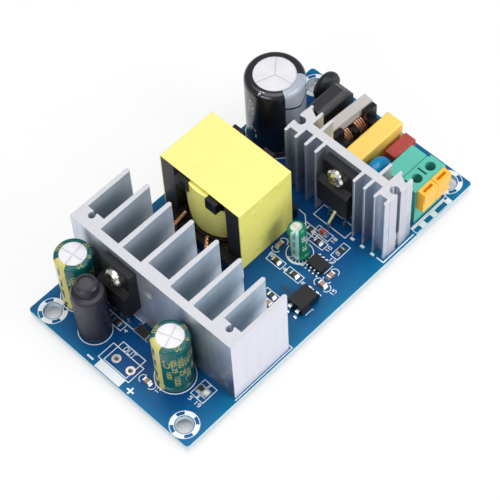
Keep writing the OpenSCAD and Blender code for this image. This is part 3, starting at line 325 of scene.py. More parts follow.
def aluminium(name):
    """Extruded heatsinks: die lines along Z on the sides, a pale sawn grain on top, and painted reflection and shade
    on the sides: dark blotches low down, shading on the fins.
    """
    s = Shader(name, (0.7, 0.71, 0.74), 0.35, 0.9)
    s.rounded_edges(0.12 * MM)
    x, y, z = s.axes()
    face_x, face_y, up = s.axes(s.normal)
    low, high = (Vector(v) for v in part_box("output_heatsink"))
    lines = s.noise(1.0, 5, s.stretched((1400, 1400, 9)), 0.75)
    blotches = s.noise(1.0, 3, s.stretched((110, 110, 60)), 0.6)
    saw = s.noise(1.0, 4, s.stretched((2600, 2600, 2600)), 0.75)
    scuff = s.noise(1.0, 5, s.stretched((420, 420, 260)), 0.7)

    # Masks: the sawn top; faces along X; the fins, front face and outer face of the output heatsink
    sawn = s.span(up, 0.6, 0.9)
    flank = s.span(s.math("ABSOLUTE", face_y), 0.6, 0.9)
    fins = s.times(flank, s.span(x, high.x, high.x + 2 * MM, 1.0, 0.0))
    front_face = s.times(flank, s.span(y, low.y + 0.2 * MM, low.y + 0.4 * MM, 1.0, 0.0))
    outer_face = s.times(s.span(face_x, -0.9, -0.6, 1.0, 0.0), s.span(x, low.x + 1 * MM, low.x + 2 * MM, 1.0, 0.0))

    # Plain sides, with dark blue-grey blotches low down: a painted reflection of the dark board below
    side = s.mix(s.span(lines, 0.30, 0.70), (0.52, 0.57, 0.66), (0.71, 0.74, 0.82))
    marks = s.times(s.span(blotches, 0.46, 0.60), s.span(z, 6 * MM, 24 * MM, 0.8, 0.1))
    side = s.mix(marks, side, (0.33, 0.39, 0.47))

    # Fins: painted light and shade: pale low down, where they are really shaded, with pale streaks along the die
    # lines; blue-grey above, a painted dark band between, and painted shade towards the back
    depth = s.math("ADD", z, s.times(blotches, 8 * MM))
    depth = s.math("SUBTRACT", depth, s.times(s.math("SUBTRACT", x, high.x), 0.25))
    fin = s.mix(s.span(depth, 17 * MM, 29 * MM), (0.90, 0.96, 1.0), (0.38, 0.49, 0.60))
    fin = s.mix(s.times(s.between(depth, 21 * MM, 25 * MM, 2 * MM), 0.7), fin, (0.20, 0.31, 0.43))
    fin = s.mix(s.span(lines, 0.35, 0.75, 0.0, 0.3), fin, (0.85, 0.88, 0.90))
    fin = s.mix(s.span(y, low.y, high.y * 0.8, 0.0, 0.75), fin, (0.30, 0.34, 0.38))
    side = s.mix(fins, side, fin)

    # Front face: its own nearly even lavender-grey, painted to how it takes the light; the outer face darkened at its
    # low front corner, a painted reflection of the dark parts around it, broken by paler scuffs
    front = s.mix(s.span(lines, 0.35, 0.7), (0.585, 0.58, 0.655), (0.635, 0.63, 0.705))
    side = s.mix(front_face, side, front)
    dull = s.mix(s.times(s.span(scuff, 0.52, 0.66), 0.55), (0.10, 0.14, 0.20), (0.62, 0.67, 0.76))
    corner = s.times(s.span(z, 6 * MM, 23 * MM, 1.0, 0.0), s.span(y, -26 * MM, -4 * MM, 1.0, 0.0))
    side = s.mix(s.times(outer_face, corner, 0.8), side, dull)

    top = s.mix(s.span(saw, 0.35, 0.65), (0.49, 0.49, 0.508), (0.585, 0.585, 0.603))
    s.colour(s.mix(sawn, side, top))
    s.feed("Metallic", s.times(s.span(fins, 0.0, 1.0, 0.85, 0.12), s.span(sawn, 0.0, 1.0, 1.0, 0.3)))
    s.rough(s.math("ADD", s.span(sawn, 0.0, 1.0, 0.3, 0.62), s.span(blotches, 0.4, 0.65, 0.0, 0.12)))
    grain = s.math("ADD", s.times(lines, s.math("SUBTRACT", 1.0, sawn)), s.times(saw, sawn))
    s.bump(grain, 0.02 * MM, 0.4)
    return s


def board():
    """Blue solder mask over copper on top and below, pale fibre at the cut edges."""
    s = Shader("board_blue", (0.01, 0.09, 0.25), 0.3, Specular_Ior_Level=0.15)
    edge = s.span(s.math("ABSOLUTE", s.axes(s.normal)[2]), 0.4, 0.6, 1.0, 0.0)
    x, y, _ = s.axes()

    # Painted light: a lighter blue towards the rim, and in a faint patch in front of the transformer
    near_front = s.span(y, BOARD_LOW.y, BOARD_LOW.y + 15 * MM, 1.0, 0.0)
    near_end = s.span(s.math("ABSOLUTE", x), BOARD_HIGH.x - 9 * MM, BOARD_HIGH.x, 0.0, 0.9)
    near_back = s.span(y, BOARD_HIGH.y - 8 * MM, BOARD_HIGH.y, 0.0, 0.8)
    light = s.most(near_front, near_end, near_back)
    light = s.times(light, light, s.span(s.noise(60, 2), 0.3, 0.6, 0.75, 1.0))
    dx = s.math("DIVIDE", s.math("ADD", x, 5 * MM), 13 * MM)
    dy = s.math("DIVIDE", s.math("ADD", y, 13 * MM), 8 * MM)
    light = s.most(light, s.span(s.squares(dx, dy), 0.0, 1.6, 0.42, 0.0))

    # Copper fills show as slightly raised, lighter cells
    cells = s.add("ShaderNodeTexVoronoi", distance="CHEBYCHEV")
    cells.inputs["Scale"].default_value = 150
    s.link(s.place, cells.inputs["Vector"])
    copper = s.span(s.axes(cells.outputs["Color"])[0], 0.5, 0.52)
    mask = s.mix(copper, (0.0015, 0.048, 0.165), (0.002, 0.058, 0.19))
    mask = s.mix(light, mask, (0.002, 0.138, 0.285))
    s.colour(s.mix(edge, mask, (0.50, 0.62, 0.66)))
    s.rough(s.span(edge, 0.0, 1.0, 0.3, 0.8))
    s.bump(copper, 0.02 * MM, 0.4)
    return s


def stripe_mask(s, node, start, end):
    """For a stripe down a round node between two angles in degrees: the angle from its middle, half its
    width in radians, and a mask that is 1 on it."""
    middle, half = math.radians((start + end) / 2), math.radians(end - start) / 2
    away = s.math("ABSOLUTE", s.around(centre(node), middle)[0])
    return away, half, s.span(away, half - 0.01, half + 0.01, 1.0, 0.0)


def sleeve(name, node, colour, stripe, start, end, pitch, ink):
    """Shrink sleeve with a polarity stripe between two angles and a dash of ink on it every pitch mm."""
    s = Shader(name, colour, 0.17, Specular_Ior_Level=0.35)
    s.rounded_edges(SOFT_EDGE)
    away, half, on_stripe = stripe_mask(s, node, start, end)
    dash = s.between(s.waves(s.axes()[2], pitch * MM), 0.34, 1.1, 0.03)
    dash = s.times(dash, s.span(away, half * 0.22, half * 0.26, 1.0, 0.0))
    tone = s.mix(s.noise(220, 3), shaded(colour, 0.85), shaded(colour, 1.15))
    s.colour(s.mix(on_stripe, tone, s.mix(dash, stripe, ink)))
    s.bump(s.noise(300, 2), 0.06 * MM, 0.35)
    return s


def arrow_sleeve(name, node, colour, panel, start, end):
    """Dark sleeve with a pale polarity panel that carries one large arrow head near its top."""
    s = Shader(name, colour, 0.2, Specular_Ior_Level=0.55)
    s.rounded_edges(SOFT_EDGE)
    away, half, on_panel = stripe_mask(s, node, start, end)
    z = s.axes()[2]
    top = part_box(node)[1][2]
    below_top, head_height, line_half = 7.6 * MM, 2.4 * MM, 0.34 * MM
    rise = s.times(s.span(away, 0.0, half), head_height)
    over_line = s.math("SUBTRACT", z, s.math("ADD", rise, top - below_top))
    tone = s.mix(s.span(over_line, -0.1 * MM, 0.1 * MM), shaded(panel, 0.78), panel)
    # Painted shade: the panel darkens towards its foot
    tone = s.mix(s.span(z, top - 20 * MM, top - 8 * MM), shaded(panel, 0.55), tone)
    on_line = s.between(over_line, -line_half, line_half, 0.05 * MM)
    s.colour(s.mix(on_panel, colour, s.mix(on_line, tone, colour)))
    s.bump(s.noise(300, 2), 0.06 * MM, 0.35)
    return s


def can(name, node, arms, start):
    """Satin can with its vent scored across the top in that many arms, the first at start degrees."""
    s = Shader(name, (0.78, 0.77, 0.79), 0.45, 0.3)
    s.rounded_edges(SOFT_EDGE)
    angle, radius = s.around(head_of(node), math.radians(start), PI / arms)
    off_line = s.times(radius, s.math("ABSOLUTE", s.math("SINE", angle)))
    score = s.span(off_line, 0.06 * MM, 0.22 * MM, 1.0, 0.0)
    # Painted light: each sector between the scores is lighter or darker by its angle, as if tilted to the light; the
    # scores are painted darker, painted shade in the grooves
    facet_light = s.span(s.math("ABSOLUTE", angle), 0.1, PI / arms)
    tone = s.mix(facet_light, (0.63, 0.615, 0.635), (0.69, 0.675, 0.695))
    tone = s.mix(s.span(s.noise(2600, 3), 0.4, 0.7, 0.0, 0.3), tone, (0.76, 0.74, 0.76))
    s.colour(s.mix(score, tone, (0.50, 0.49, 0.52)))
    s.bump(s.span(off_line, 0.0, 0.4 * MM), 0.08 * MM, 0.6)
    return s


def wrap_tape(name):
    """Polyester tape over the core, creased on its sides; its top and its sides get different tints, painted to how
    each takes the light.
    """
    s = Shader(name, (0.9, 0.82, 0.3), 0.3, Specular_Ior_Level=0.4)
    s.rounded_edges(0.15 * MM)
    up = s.span(s.axes(s.normal)[2], 0.4, 0.8)
    creases = s.noise(1.0, 4, s.stretched((160, 160, 300)), 0.65)
    spots = s.span(s.noise(420, 2), 0.66, 0.72)
    side = s.mix(s.span(creases, 0.35, 0.7), (0.79, 0.735, 0.15), (0.83, 0.78, 0.20))
    side = s.mix(s.times(spots, 0.4), side, (0.92, 0.91, 0.6))
    top = s.mix(s.noise(300, 3), (0.82, 0.67, 0.195), (0.86, 0.72, 0.235))
    # Painted light: the top and the sides are tinted apart
    s.colour(s.mix(up, side, top))
    s.bump(creases, 0.04 * MM, 0.2)
    s.rough(s.span(creases, 0.3, 0.7, 0.22, 0.4))
    return s


def coil_tape(name):
    """The wound tape of the coil, with the edge of each turn showing as a fine line."""
    s = Shader(name, (0.6, 0.55, 0.1), 0.32)
    sag = s.times(s.noise(90, 2), 1.2 * MM)
    turn = s.waves(s.math("ADD", s.axes()[2], sag), 1.3 * MM)
    edge = s.span(turn, 0.0, 0.22, 1.0, 0.0)
    tone = s.mix(s.noise(260, 3), (1.0, 0.90, 0.20), (1.0, 0.96, 0.30))
    s.colour(s.mix(s.times(edge, 0.7), tone, (0.45, 0.40, 0.09)))
    s.bump(s.span(turn, 0.0, 0.4), 0.1 * MM, 0.5)
    return s


def shrink_tube(name):
    """Shrink tube drawn over a wire coil: faint turns under a dull purple-black skin."""
    s = Shader(name, (0.03, 0.026, 0.04), 0.3, Specular_Ior_Level=0.4)
    s.rounded_edges(0.15 * MM)
    sag = s.times(s.noise(120, 2), 0.3 * MM)
    turns = s.waves(s.math("ADD", s.axes()[2], sag), 0.62 * MM)
    s.colour(s.mix(s.noise(180, 3), (0.010, 0.009, 0.015), (0.019, 0.017, 0.029)))
    s.bump(turns, 0.09 * MM, 0.5)
    s.rough(s.span(s.noise(500, 3), 0.3, 0.7, 0.26, 0.42))
    return s


def copper_wire(name, axis, pitch):
    """Enamelled copper in turns pitch mm apart along an axis (0, 1 or 2)."""
    s = Shader(name, (0.62, 0.25, 0.12), 0.24, 0.8)
    turns = s.waves(s.axes()[axis], pitch * MM)
    # Painted shade: each turn darkens where it meets the next, between the wires
    s.colour(s.mix(s.span(turns, 0.0, 0.5), (0.24, 0.07, 0.04), (1.0, 0.50, 0.30)))
    s.bump(turns, 0.16 * MM, 0.8)
    return s


def printed(name, colour, roughness=0.5):
    """Screen print: nearly matt ink, slightly thin in places."""
    s = Shader(name, colour, roughness)
    thin = s.span(s.noise(2400, 3), 0.35, 0.6, 0.86, 1.0)
    s.colour(s.mix(thin, shaded(colour, 0.8), colour))
    s.bump(s.noise(5200, 2), 0.01 * MM, 0.3)
    return s


EPOXY = {"grain": 0.04, "grain_scale": 4200, "vary": 0.07}  # the matt, speckled skin of a filled box
GREEN, GOLD, DARK_GOLD = (0.002, 0.085, 0.08), (0.50, 0.45, 0.13), (0.04, 0.07, 0.03)

sink_metal = aluminium("aluminium_fins")
lead_metal = metal("tinned_leads", (0.78, 0.78, 0.77), 0.28)
solder = metal("solder", (0.62, 0.62, 0.64), 0.3)
black_epoxy = plastic("package_black", (0.007, 0.007, 0.0085), 0.38, shine=0.3)
bobbin_black = plastic("bobbin_black", (0.006, 0.006, 0.007), 0.25, shine=0.35)
ferrite = plastic("ferrite", (0.018, 0.019, 0.024), 0.42, shine=0.35)
button = plastic("button_orange", (0.90, 0.44, 0.035), 0.35)
finishes = {
    "circuit_board": board(),
    "solder_joints": solder,
    "heatsink_screws": metal("screw_steel", (0.75, 0.75, 0.72), 0.22),
    "package_screws": metal("screw_bright", (0.80, 0.77, 0.68), 0.2),
    "output_heatsink": sink_metal,
    "input_heatsink": sink_metal,
    "rectifier_body": black_epoxy,
    "transistor_body": black_epoxy,
    "bridge_rectifier": plastic("bridge_black", (0.022, 0.022, 0.026), 0.42, shine=0.35),
    "controller_ic": black_epoxy,
    "optocoupler": black_epoxy,
    "bulk_capacitor_sleeve": arrow_sleeve(
        "sleeve_black", "bulk_capacitor_sleeve", (0.010, 0.010, 0.013), (0.30, 0.335, 0.39), -117, -47),
    "output_capacitor_a_sleeve": sleeve(
        "sleeve_green_a", "output_capacitor_a_sleeve", GREEN, GOLD, 152, 200, 5.2, DARK_GOLD),
    "output_capacitor_b_sleeve": sleeve(
        "sleeve_green_b", "output_capacitor_b_sleeve", GREEN, GOLD, 140, 192, 5.2, DARK_GOLD),
    "small_capacitor_sleeve": sleeve(
        "sleeve_green_c", "small_capacitor_sleeve", (0.005, 0.17, 0.09), (0.34, 0.58, 0.55), 165, 225, 3.4,
        (0.12, 0.27, 0.25)),
    "output_choke_core": plastic("ferrite_choke", (0.045, 0.045, 0.048), 0.5),
    "output_choke_winding": copper_wire("copper_choke", 2, 0.6),
    "output_choke_sleeve": shrink_tube("choke_sleeve"),
    "transformer_core_lower": ferrite,
    "transformer_core_upper": ferrite,
    "transformer_winding": coil_tape("coil_tape"),
    "transformer_tape": wrap_tape("tape_yellow"),
    "transformer_leads": copper_wire("copper_litz", 0, 0.7),
    "line_choke_core": plastic("ferrite_pale", (0.46, 0.43, 0.40), 0.6),
    "line_choke_winding_a": copper_wire("copper_a", 0, 0.72),
    "line_choke_winding_b": copper_wire("copper_b", 0, 0.72),
    "x_capacitor": plastic("xcap_yellow", (0.86, 0.56, 0.115), 0.45, **EPOXY),
    "fuse": plastic("fuse_red", (0.36, 0.048, 0.035), 0.5, **EPOXY),
    "y_capacitor": plastic("disc_blue", (0.001, 0.235, 0.50), 0.14),
    "thermistor": plastic("disc_black", (0.014, 0.014, 0.017), 0.45, shine=0.35),
    "chip_resistors": plastic("chip_dark", (0.03, 0.026, 0.022), 0.3),
    "chip_capacitors": plastic("chip_tan", (0.34, 0.22, 0.15), 0.4),
    "chip_diode": plastic("diode_red", (0.36, 0.03, 0.02), 0.12),
    "indicator_led": plastic("led_clear", (0.72, 0.74, 0.66), 0.2),
    "terminal_housing": plastic("terminal_green", (0.085, 0.44, 0.33), 0.45),
    "terminal_button_1": button,
    "terminal_button_2": button,
    "bulk_capacitor_can": can("can_bulk", "bulk_capacitor_can", 3, -80),
    "output_capacitor_a_can": can("can_a", "output_capacitor_a_can", 4, 10),
    "output_capacitor_b_can": can("can_b", "output_capacitor_b_can", 4, 20),
    "small_capacitor_can": can("can_small", "small_capacitor_can", 4, 0),
}
for name in list(frame["nodes"]):
    if name in finishes:
        dress(name, finishes[name])
    elif name.endswith("_bobbin"):
        dress(name, bobbin_black)
    else:
        dress(name, lead_metal)


# ---------------------------------------------------------------- print on the board and on the sleeves

SILK_W = 0.24
GRID = 6  # a letter is drawn on a grid 4 wide and 6 high, and the next one starts 6 on
ROUND = [(0, 1), (0, 5), (1, 6), (3, 6), (4, 5), (4, 1), (3, 0), (1, 0), (0, 1)]
STROKES = {
    "0": [ROUND],
    "1": [[(1, 5), (2, 6), (2, 0)]],
    "2": [[(0, 5), (1, 6), (3, 6), (4, 5), (4, 4), (0, 0), (4, 0)]],
    "3": [[(0, 6), (4, 6), (2, 4), (3, 4), (4, 3), (4, 1), (3, 0), (1, 0), (0, 1)]],
    "4": [[(3, 0), (3, 6), (0, 2), (4, 2)]],
    "5": [[(4, 6), (0, 6), (0, 4), (3, 4), (4, 3), (4, 1), (3, 0), (0, 0)]],
    "6": [[(4, 5), (3, 6), (1, 6), (0, 5), (0, 1), (1, 0), (3, 0), (4, 1), (4, 2), (3, 3), (0, 3)]],
    "7": [[(0, 6), (4, 6), (1, 0)]],
    "8": [[(1, 3), (0, 4), (0, 5), (1, 6), (3, 6), (4, 5), (4, 4), (3, 3), (1, 3), (0, 2), (0, 1), (1, 0),
           (3, 0), (4, 1), (4, 2), (3, 3)]],
    "9": [[(4, 3), (1, 3), (0, 4), (0, 5), (1, 6), (3, 6), (4, 5), (4, 1), (3, 0), (1, 0)]],
    "O": [ROUND],
    "U": [[(0, 6), (0, 1), (1, 0), (3, 0), (4, 1), (4, 6)]],
    "T": [[(0, 6), (4, 6)], [(2, 6), (2, 0)]],
}


def add_piece(name, mesh, shader):
    """Puts a mesh in the scene as a piece of the supply."""
    mesh.materials.append(shader.material)
    obj = bpy.data.objects.new(name, mesh)
    bpy.context.scene.collection.objects.link(obj)
    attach(obj, ROOT)


class Ink:
    """Thin raised strokes on a surface. place(u, v) gives a point there and the outward normal."""

    RISES, RISE = 11, 0.0011 * MM  # patches end at slightly different heights, so none shares a plane

    def __init__(self, place, low=0.004, high=0.03):
        self.place = place
        self.lifts = (low * MM, high * MM)
        self.verts = []
        self.faces = []

    def patch(self, corners):
        """A convex patch, its corners counter-clockwise seen from outside."""
        count, base = len(corners), len(self.verts)
        rise = len(self.faces) // 6 % self.RISES * self.RISE
        for lift in (self.lifts[0], self.lifts[1] + rise):
            for u, v in corners:
                point, normal = self.place(u, v)
                self.verts.append(point + normal * lift)
        self.faces.append([base + i for i in reversed(range(count))])
        self.faces.append([base + count + i for i in range(count)])
        for i in range(count):
            j = (i + 1) % count
            self.faces.append([base + i, base + j, base + count + j, base + count + i])

    def stroke(self, points, width=SILK_W, closed=False):
        ends = zip(points, points[1:] + points[:1]) if closed else zip(points, points[1:])
        for (ax, ay), (bx, by) in ends:
            length = math.hypot(bx - ax, by - ay)
            dx, dy = (bx - ax) / length * width / 2, (by - ay) / length * width / 2
            self.patch([(ax - dx + dy, ay - dy - dx), (bx + dx + dy, by + dy - dx),
                        (bx + dx - dy, by + dy + dx), (ax - dx - dy, ay - dy + dx)])

    def box(self, x0, y0, x1, y1, width=SILK_W):
        self.stroke([(x0, y0), (x1, y0), (x1, y1), (x0, y1)], width, True)

    def block(self, x0, y0, x1, y1):
        self.patch([(x0, y0), (x1, y0), (x1, y1), (x0, y1)])

    def sector(self, x, y, inner, outer, start=0, end=360, steps=40):
        """Part of a flat ring, with its angles in degrees."""
        turns = [start + (end - start) * i / steps for i in range(steps + 1)]
        for a, b in zip(turns, turns[1:]):
            self.patch([polar(x, y, inner, a), polar(x, y, outer, a), polar(x, y, outer, b), polar(x, y, inner, b)])

    def circle(self, x, y, radius, width=SILK_W, start=0, end=360):
        steps = max(6, int(abs(end - start) / 9))
        self.sector(x, y, radius - width / 2, radius + width / 2, start, end, steps)

    def text(self, words, x, y, height, turn, width):
        """Stroke lettering that starts at (x, y) and reads along turn, in degrees."""
        unit = height / GRID
        c, s = math.cos(math.radians(turn)), math.sin(math.radians(turn))
        for index, letter in enumerate(words):
            for line in STROKES[letter]:
                flat = [((px + index * GRID) * unit, py * unit) for px, py in line]
                self.stroke([(x + u * c - v * s, y + u * s + v * c) for u, v in flat], width)

    def bent_text(self, words, turn, along, radius, height, width, on_shoulder):
        """Lettering on a round body of that radius, in mm. It starts at the angle turn and the height along
        and reads down the side, or is centred on turn at the radius along and reads round the shoulder."""
        per_degree = math.radians(radius)
        unit = height / GRID
        for index, letter in enumerate(words):
            shift = ((len(words) - 1) / 2 - index) * GRID
            for line in STROKES[letter]:
                if on_shoulder:
                    moved = [(turn - (shift + px - 2) * unit / per_degree, along - (py - 3) * unit)
                             for px, py in line]
                else:
                    moved = [(turn + (py - 3) * unit / per_degree, along - (px + index * GRID) * unit)
                             for px, py in line]
                for (ua, va), (ub, vb) in zip(moved, moved[1:]):
                    du, dv = (ub - ua) * per_degree, vb - va
                    half = width / 2 / math.hypot(du, dv)
                    su, sv = -dv * half / per_degree, du * half
                    self.patch([(ua - su, va - sv), (ub - su, vb - sv), (ub + su, vb + sv), (ua + su, va + sv)])

    def make(self, name, shader, slot_name="board_blue"):
        mesh = bpy.data.meshes.new(name)
        mesh.from_pydata([tuple(v) for v in self.verts], [], self.faces)
        add_piece(name, mesh, shader)


def on_board(u, v):
    """Places ink on the board's top: u and v are X and Y in mm."""
    return Vector((u * MM, v * MM, TOP)), Vector((0, 0, 1))


def on_side(node):
    """Places ink on the side of a round body: u is the angle in degrees from +X, v the height in mm."""
    tree, middle = surface(node), centre(node)
    reach = 50 * MM

    def place(u, v):
        out = Vector((*polar(0, 0, 1, u), 0))
        start = Vector((middle.x, middle.y, v * MM)) + out * reach
        point, normal, _, _ = tree.ray_cast(start, -out)
        return (point, normal) if point else (start - out * reach, out)
    return place


def on_shoulder(node):
    """Places ink on the upper side of a round body: u is the angle in degrees, v the radius in mm."""
    tree, middle = surface(node), centre(node)

    def place(u, v):
        x, y = polar(middle.x, middle.y, v * MM, u)
        point, normal, _, _ = tree.ray_cast(Vector((x, y, 1.0)), Vector((0, 0, -1)))
        return (point, normal) if point else (Vector((x, y, TOP)), Vector((0, 0, 1)))
    return place


silk = Ink(on_board)
tin = Ink(on_board, 0.0, 0.05)


def print_holes():
    """Round each mounting hole, two thin rings with four white blocks between them."""
    holes = board_mount("board_holes")["dims"]
    hole_r = holes["hole_r_mm"]
    for hx in (-holes["spacing_x_mm"] / 2, holes["spacing_x_mm"] / 2):
        for hy in (-holes["spacing_y_mm"] / 2, holes["spacing_y_mm"] / 2):
            silk.sector(hx, hy, hole_r + 0.2, hole_r + 0.4)
            silk.sector(hx, hy, hole_r + 1.34, hole_r + 1.52, steps=48)
            for middle in range(18, 360, 90):
                silk.sector(hx, hy, hole_r + 0.38, hole_r + 1.36, middle - 26, middle + 26, 8)


def print_output():
    """The output end: tinned pads, their outline, a filled block, the word OUT and the two signs."""
    pad_pitch, pad_r, pad_hole = 5.15, 1.3, 0.65
    end = BOARD_LOW.x / MM
    x, y, _ = (v / MM for v in board_mount("dc_output_pads")["pos_m"])
    for side in (-1, 1):
        tin.sector(x, y + side * pad_pitch / 2, pad_hole, pad_r, steps=32)
    silk.box(x - 2.75, y - 4.63, x + 2.65, y + 6.37)
    silk.box(x - 2.3, y - 3.33, x + 4.6, y + 4.77)
    silk.block(end + 0.2, y - 3.7, x - 2.75, y + 5.27)
    silk.text("OUT", x + 2.9, y + 3.1, 1.35, -90, 0.2)
    silk.block(end + 1.0, y + 6.62, end + 1.5, y + 8.82)  # the minus sign
    silk.block(end + 1.15, y - 7.83, end + 1.65, y - 5.53)  # the plus sign, in two strokes
    silk.block(end + 0.35, y - 6.93, end + 2.5, y - 6.43)


def print_round_feet():
    """A circle at the foot of each tall round part, open where it would leave the board."""
    for node, gap, start, end in (("output_capacitor_a_sleeve", 0.4, 0, 360),
                                  ("output_capacitor_b_sleeve", 0.4, 0, 360),
                                  ("bulk_capacitor_sleeve", 0.4, 115, 425),
                                  ("output_choke_sleeve", 0.05, 0, 360)):
        x0, y0, x1, y1 = edges(node)
        silk.circle((x0 + x1) / 2, (y0 + y1) / 2, (x1 - x0) / 2 + gap, SILK_W, start, end)


def print_outlines():
    """Lines at the feet of the power packages, the transformer and the output heatsink."""
    x0, y0, x1, y1 = edges("rectifier_body")
    silk.stroke([(x0 + 1.2, y0 - 0.4), (x1, y0 - 0.4)])
    silk.box(x0 + 1.2, y0 - 0.4, x1 - 0.3, y1 + 0.4)
    x0, y0, x1, y1 = edges("transistor_body")
    silk.box(x0 - 0.9, y0 - 0.5, x1 - 1.5, y1 + 0.5)
    x0, y0, x1, _ = edges("transformer_tape")
    silk.stroke([(x1 + 4.8, y0 + 2.1), (x1 + 4.7, y0 - 0.1), (x1 + 2.2, y0 - 2.8)])
    silk.stroke([(x0, y0 - 0.1), (x0 - 1.4, y0 - 1.7)])
    silk.circle(x1 + 3.0, y0 + 2.0, 0.35, 0.3)
    x0, y0, x1, _ = edges("output_heatsink")
    silk.stroke([(x0 - 0.3, y0 - 0.42), (x1 + 0.4, y0 - 0.42), (x1 + 0.4, y0 + 2.0)])
    for fin_y in (-20.2, -12.25, -4.35, 4.35, 12.25, 20.2):
        silk.stroke([(x1 + 0.4, fin_y - 0.8), (x1 + 0.4, fin_y + 0.8)])


def print_small_capacitor():
    """A circle with its negative half hatched."""
    x0, y0, x1, y1 = edges("small_capacitor_leads")
    x, y = (x0 + x1) / 2, (y0 + y1) / 2 + 0.35
    silk.circle(x, y, 3.6)
    silk.circle(x, y, 3.3, 0.3, 150, 300)
    for turn in range(160, 281, 20):
        silk.stroke([polar(x, y, 2.3, turn), polar(x, y, 3.3, turn)], 0.2)


def print_input_heatsink():
    """Its front corner, and a mark at the tip of each front fin."""
    x0, y0, x1, _ = edges("input_heatsink")
    silk.stroke([(x0 - 0.6, y0 - 0.5), (x1 + 0.6, y0 - 0.5)], 0.34)
    silk.stroke([(x0 - 0.6, y0 - 0.5), (x0 - 0.6, y0 + 1.6)], 0.34)
    for fin_y in (y0 + 3.4, y0 + 6.9, y0 + 10.4):
        silk.block(x0 - 1.0, fin_y - 0.7, x0 - 0.2, fin_y + 0.5)


def print_terminal():
    """A band with windows along the board's front edge, and a line up the terminal's right side."""
    x0, y0, x1, y1 = edges("terminal_housing")
    silk.box(x0 - 1.8, y0 - 2.8, x1 + 0.4, y0 - 0.55, 0.22)
    silk.block(x0 - 1.8, y0 - 1.3, x1 - 0.6, y0 - 0.6)
    for left, right in ((x0 + 0.5, x0 + 2.4), (x0 + 4.9, x0 + 6.7), (x1 - 1.2, x1 + 0.4)):
        silk.block(left, y0 - 2.8, right, y0 - 1.3)
    silk.box(x1 + 0.5, y0 - 0.3, x1 + 0.7, y1)


def print_controllers():
    """Corner and edge marks of the two packages with many leads."""
    x0, y0, x1, y1 = edges("controller_ic")
    silk.stroke([(x0, y1 + 0.5), (x0 - 0.9, y1 + 0.5), (x0 - 0.9, y1 + 1.2)], 0.2)
    silk.stroke([(x1 + 0.5, y0 - 0.4), (x0 + 1.2, y0 - 0.4)], 0.2)
    x0, y0, x1, y1 = edges("optocoupler")
    silk.stroke([(x0 + 1.0, y0 - 0.5), (x0 + 3.4, y0 - 0.5), (x0 + 3.4, y0 - 0.9)], 0.2)
    silk.stroke([(x1 - 1.5, y1 + 0.5), (x1 + 0.4, y1 + 0.5), (x1 + 0.4, y1 - 0.2)], 0.2)


print_holes()
print_output()
print_round_feet()
print_outlines()
print_small_capacitor()
print_input_heatsink()
print_terminal()
print_controllers()


# ---------------------------------------------------------------- chips: outline, number, end caps and solder

CHIP_LONG, CHIP_WIDE, CHIP_LINE = 5.1, 2.35, 0.2
LABEL_HIGH, LABEL_LINE, LABEL_GAP, FIRST_LABEL = 1.0, 0.17, 1.5, 4
CAP_LENGTH, CAP_SKIN = 0.34 * MM, 0.02 * MM
FILLET_REACH, FILLET_SIDE, FILLET_RISE = 0.45 * MM, 0.05 * MM, 0.55


class Blocks:
    """Closed boxes and wedges gathered into one piece."""

    def __init__(self):
        self.verts = []
        self.faces = []

    def add(self, verts, faces):
        base = len(self.verts)
        self.verts += verts
        self.faces += [[base + i for i in face] for face in faces]

    def box(self, low, high):
        self.add([(x, y, z) for z in (low[2], high[2]) for y in (low[1], high[1]) for x in (low[0], high[0])],
                 [(0, 2, 3, 1), (4, 5, 7, 6), (0, 1, 5, 4), (2, 6, 7, 3), (0, 4, 6, 2), (1, 3, 7, 5)])

    def wedge(self, along, toe, wall, sides, height):
        """Solder fillet on the board: a three-sided prism that rises from toe to wall along an axis."""
        verts = []
        for side in sides:
            for reach, rise in ((toe, 0.0), (wall, 0.0), (wall, height)):
                x, y = (reach, side) if along == 0 else (side, reach)
                verts.append((x, y, TOP + rise))
        self.add(verts, [(0, 1, 2), (5, 4, 3), (0, 3, 4, 1), (1, 4, 5, 2), (2, 5, 3, 0)])

    def make(self, name, shader, slot_name):
        mesh = bpy.data.meshes.new(name)
        mesh.from_pydata(self.verts, [], self.faces)
        bm = bmesh.new()
        bm.from_mesh(mesh)
        bmesh.ops.recalc_face_normals(bm, faces=bm.faces)
        bm.to_mesh(mesh)
        bm.free()
        add_piece(name, mesh, shader)


def print_chip(middle, along, rounded, label):
    """Outline and number of a chip that lies along X (0) or Y (1)."""
    mx, my = middle.x / MM, middle.y / MM
    half = (CHIP_LONG / 2, CHIP_WIDE / 2) if along == 0 else (CHIP_WIDE / 2, CHIP_LONG / 2)
    if rounded:
        for sign in (-1, 1):
            spot = [mx, my]
            spot[along] += sign * (CHIP_LONG - CHIP_WIDE) / 2
            start = 90 * along - 90 * sign
            silk.circle(*spot, CHIP_WIDE / 2, CHIP_LINE, start, start + 180)
    else:
        silk.box(mx - half[0], my - half[1], mx + half[0], my + half[1], CHIP_LINE)
    if along == 0:
        silk.text(label, mx - half[0] - LABEL_GAP, my + 0.5, LABEL_HIGH, -90, LABEL_LINE)
    else:
        silk.text(label, mx - 0.6, my - half[1] - LABEL_GAP, LABEL_HIGH, 0, LABEL_LINE)


def cap_ends(low, high, along):
    """Tinned caps over both ends of a chip, with a fillet of solder at the foot of each."""
    across = 1 - along
    for sign, wall in ((-1, low[along]), (1, high[along])):
        lo, hi = [v - CAP_SKIN for v in low], [v + CAP_SKIN for v in high]
        lo[2] = TOP
        if sign < 0:
            hi[along] = wall + CAP_LENGTH
        else:
            lo[along] = wall - CAP_LENGTH
        caps.box(lo, hi)
        sides = (low[across] - FILLET_SIDE, high[across] + FILLET_SIDE)
        fillets.wedge(along, wall + sign * FILLET_REACH, wall, sides, (high.z - low.z) * FILLET_RISE)


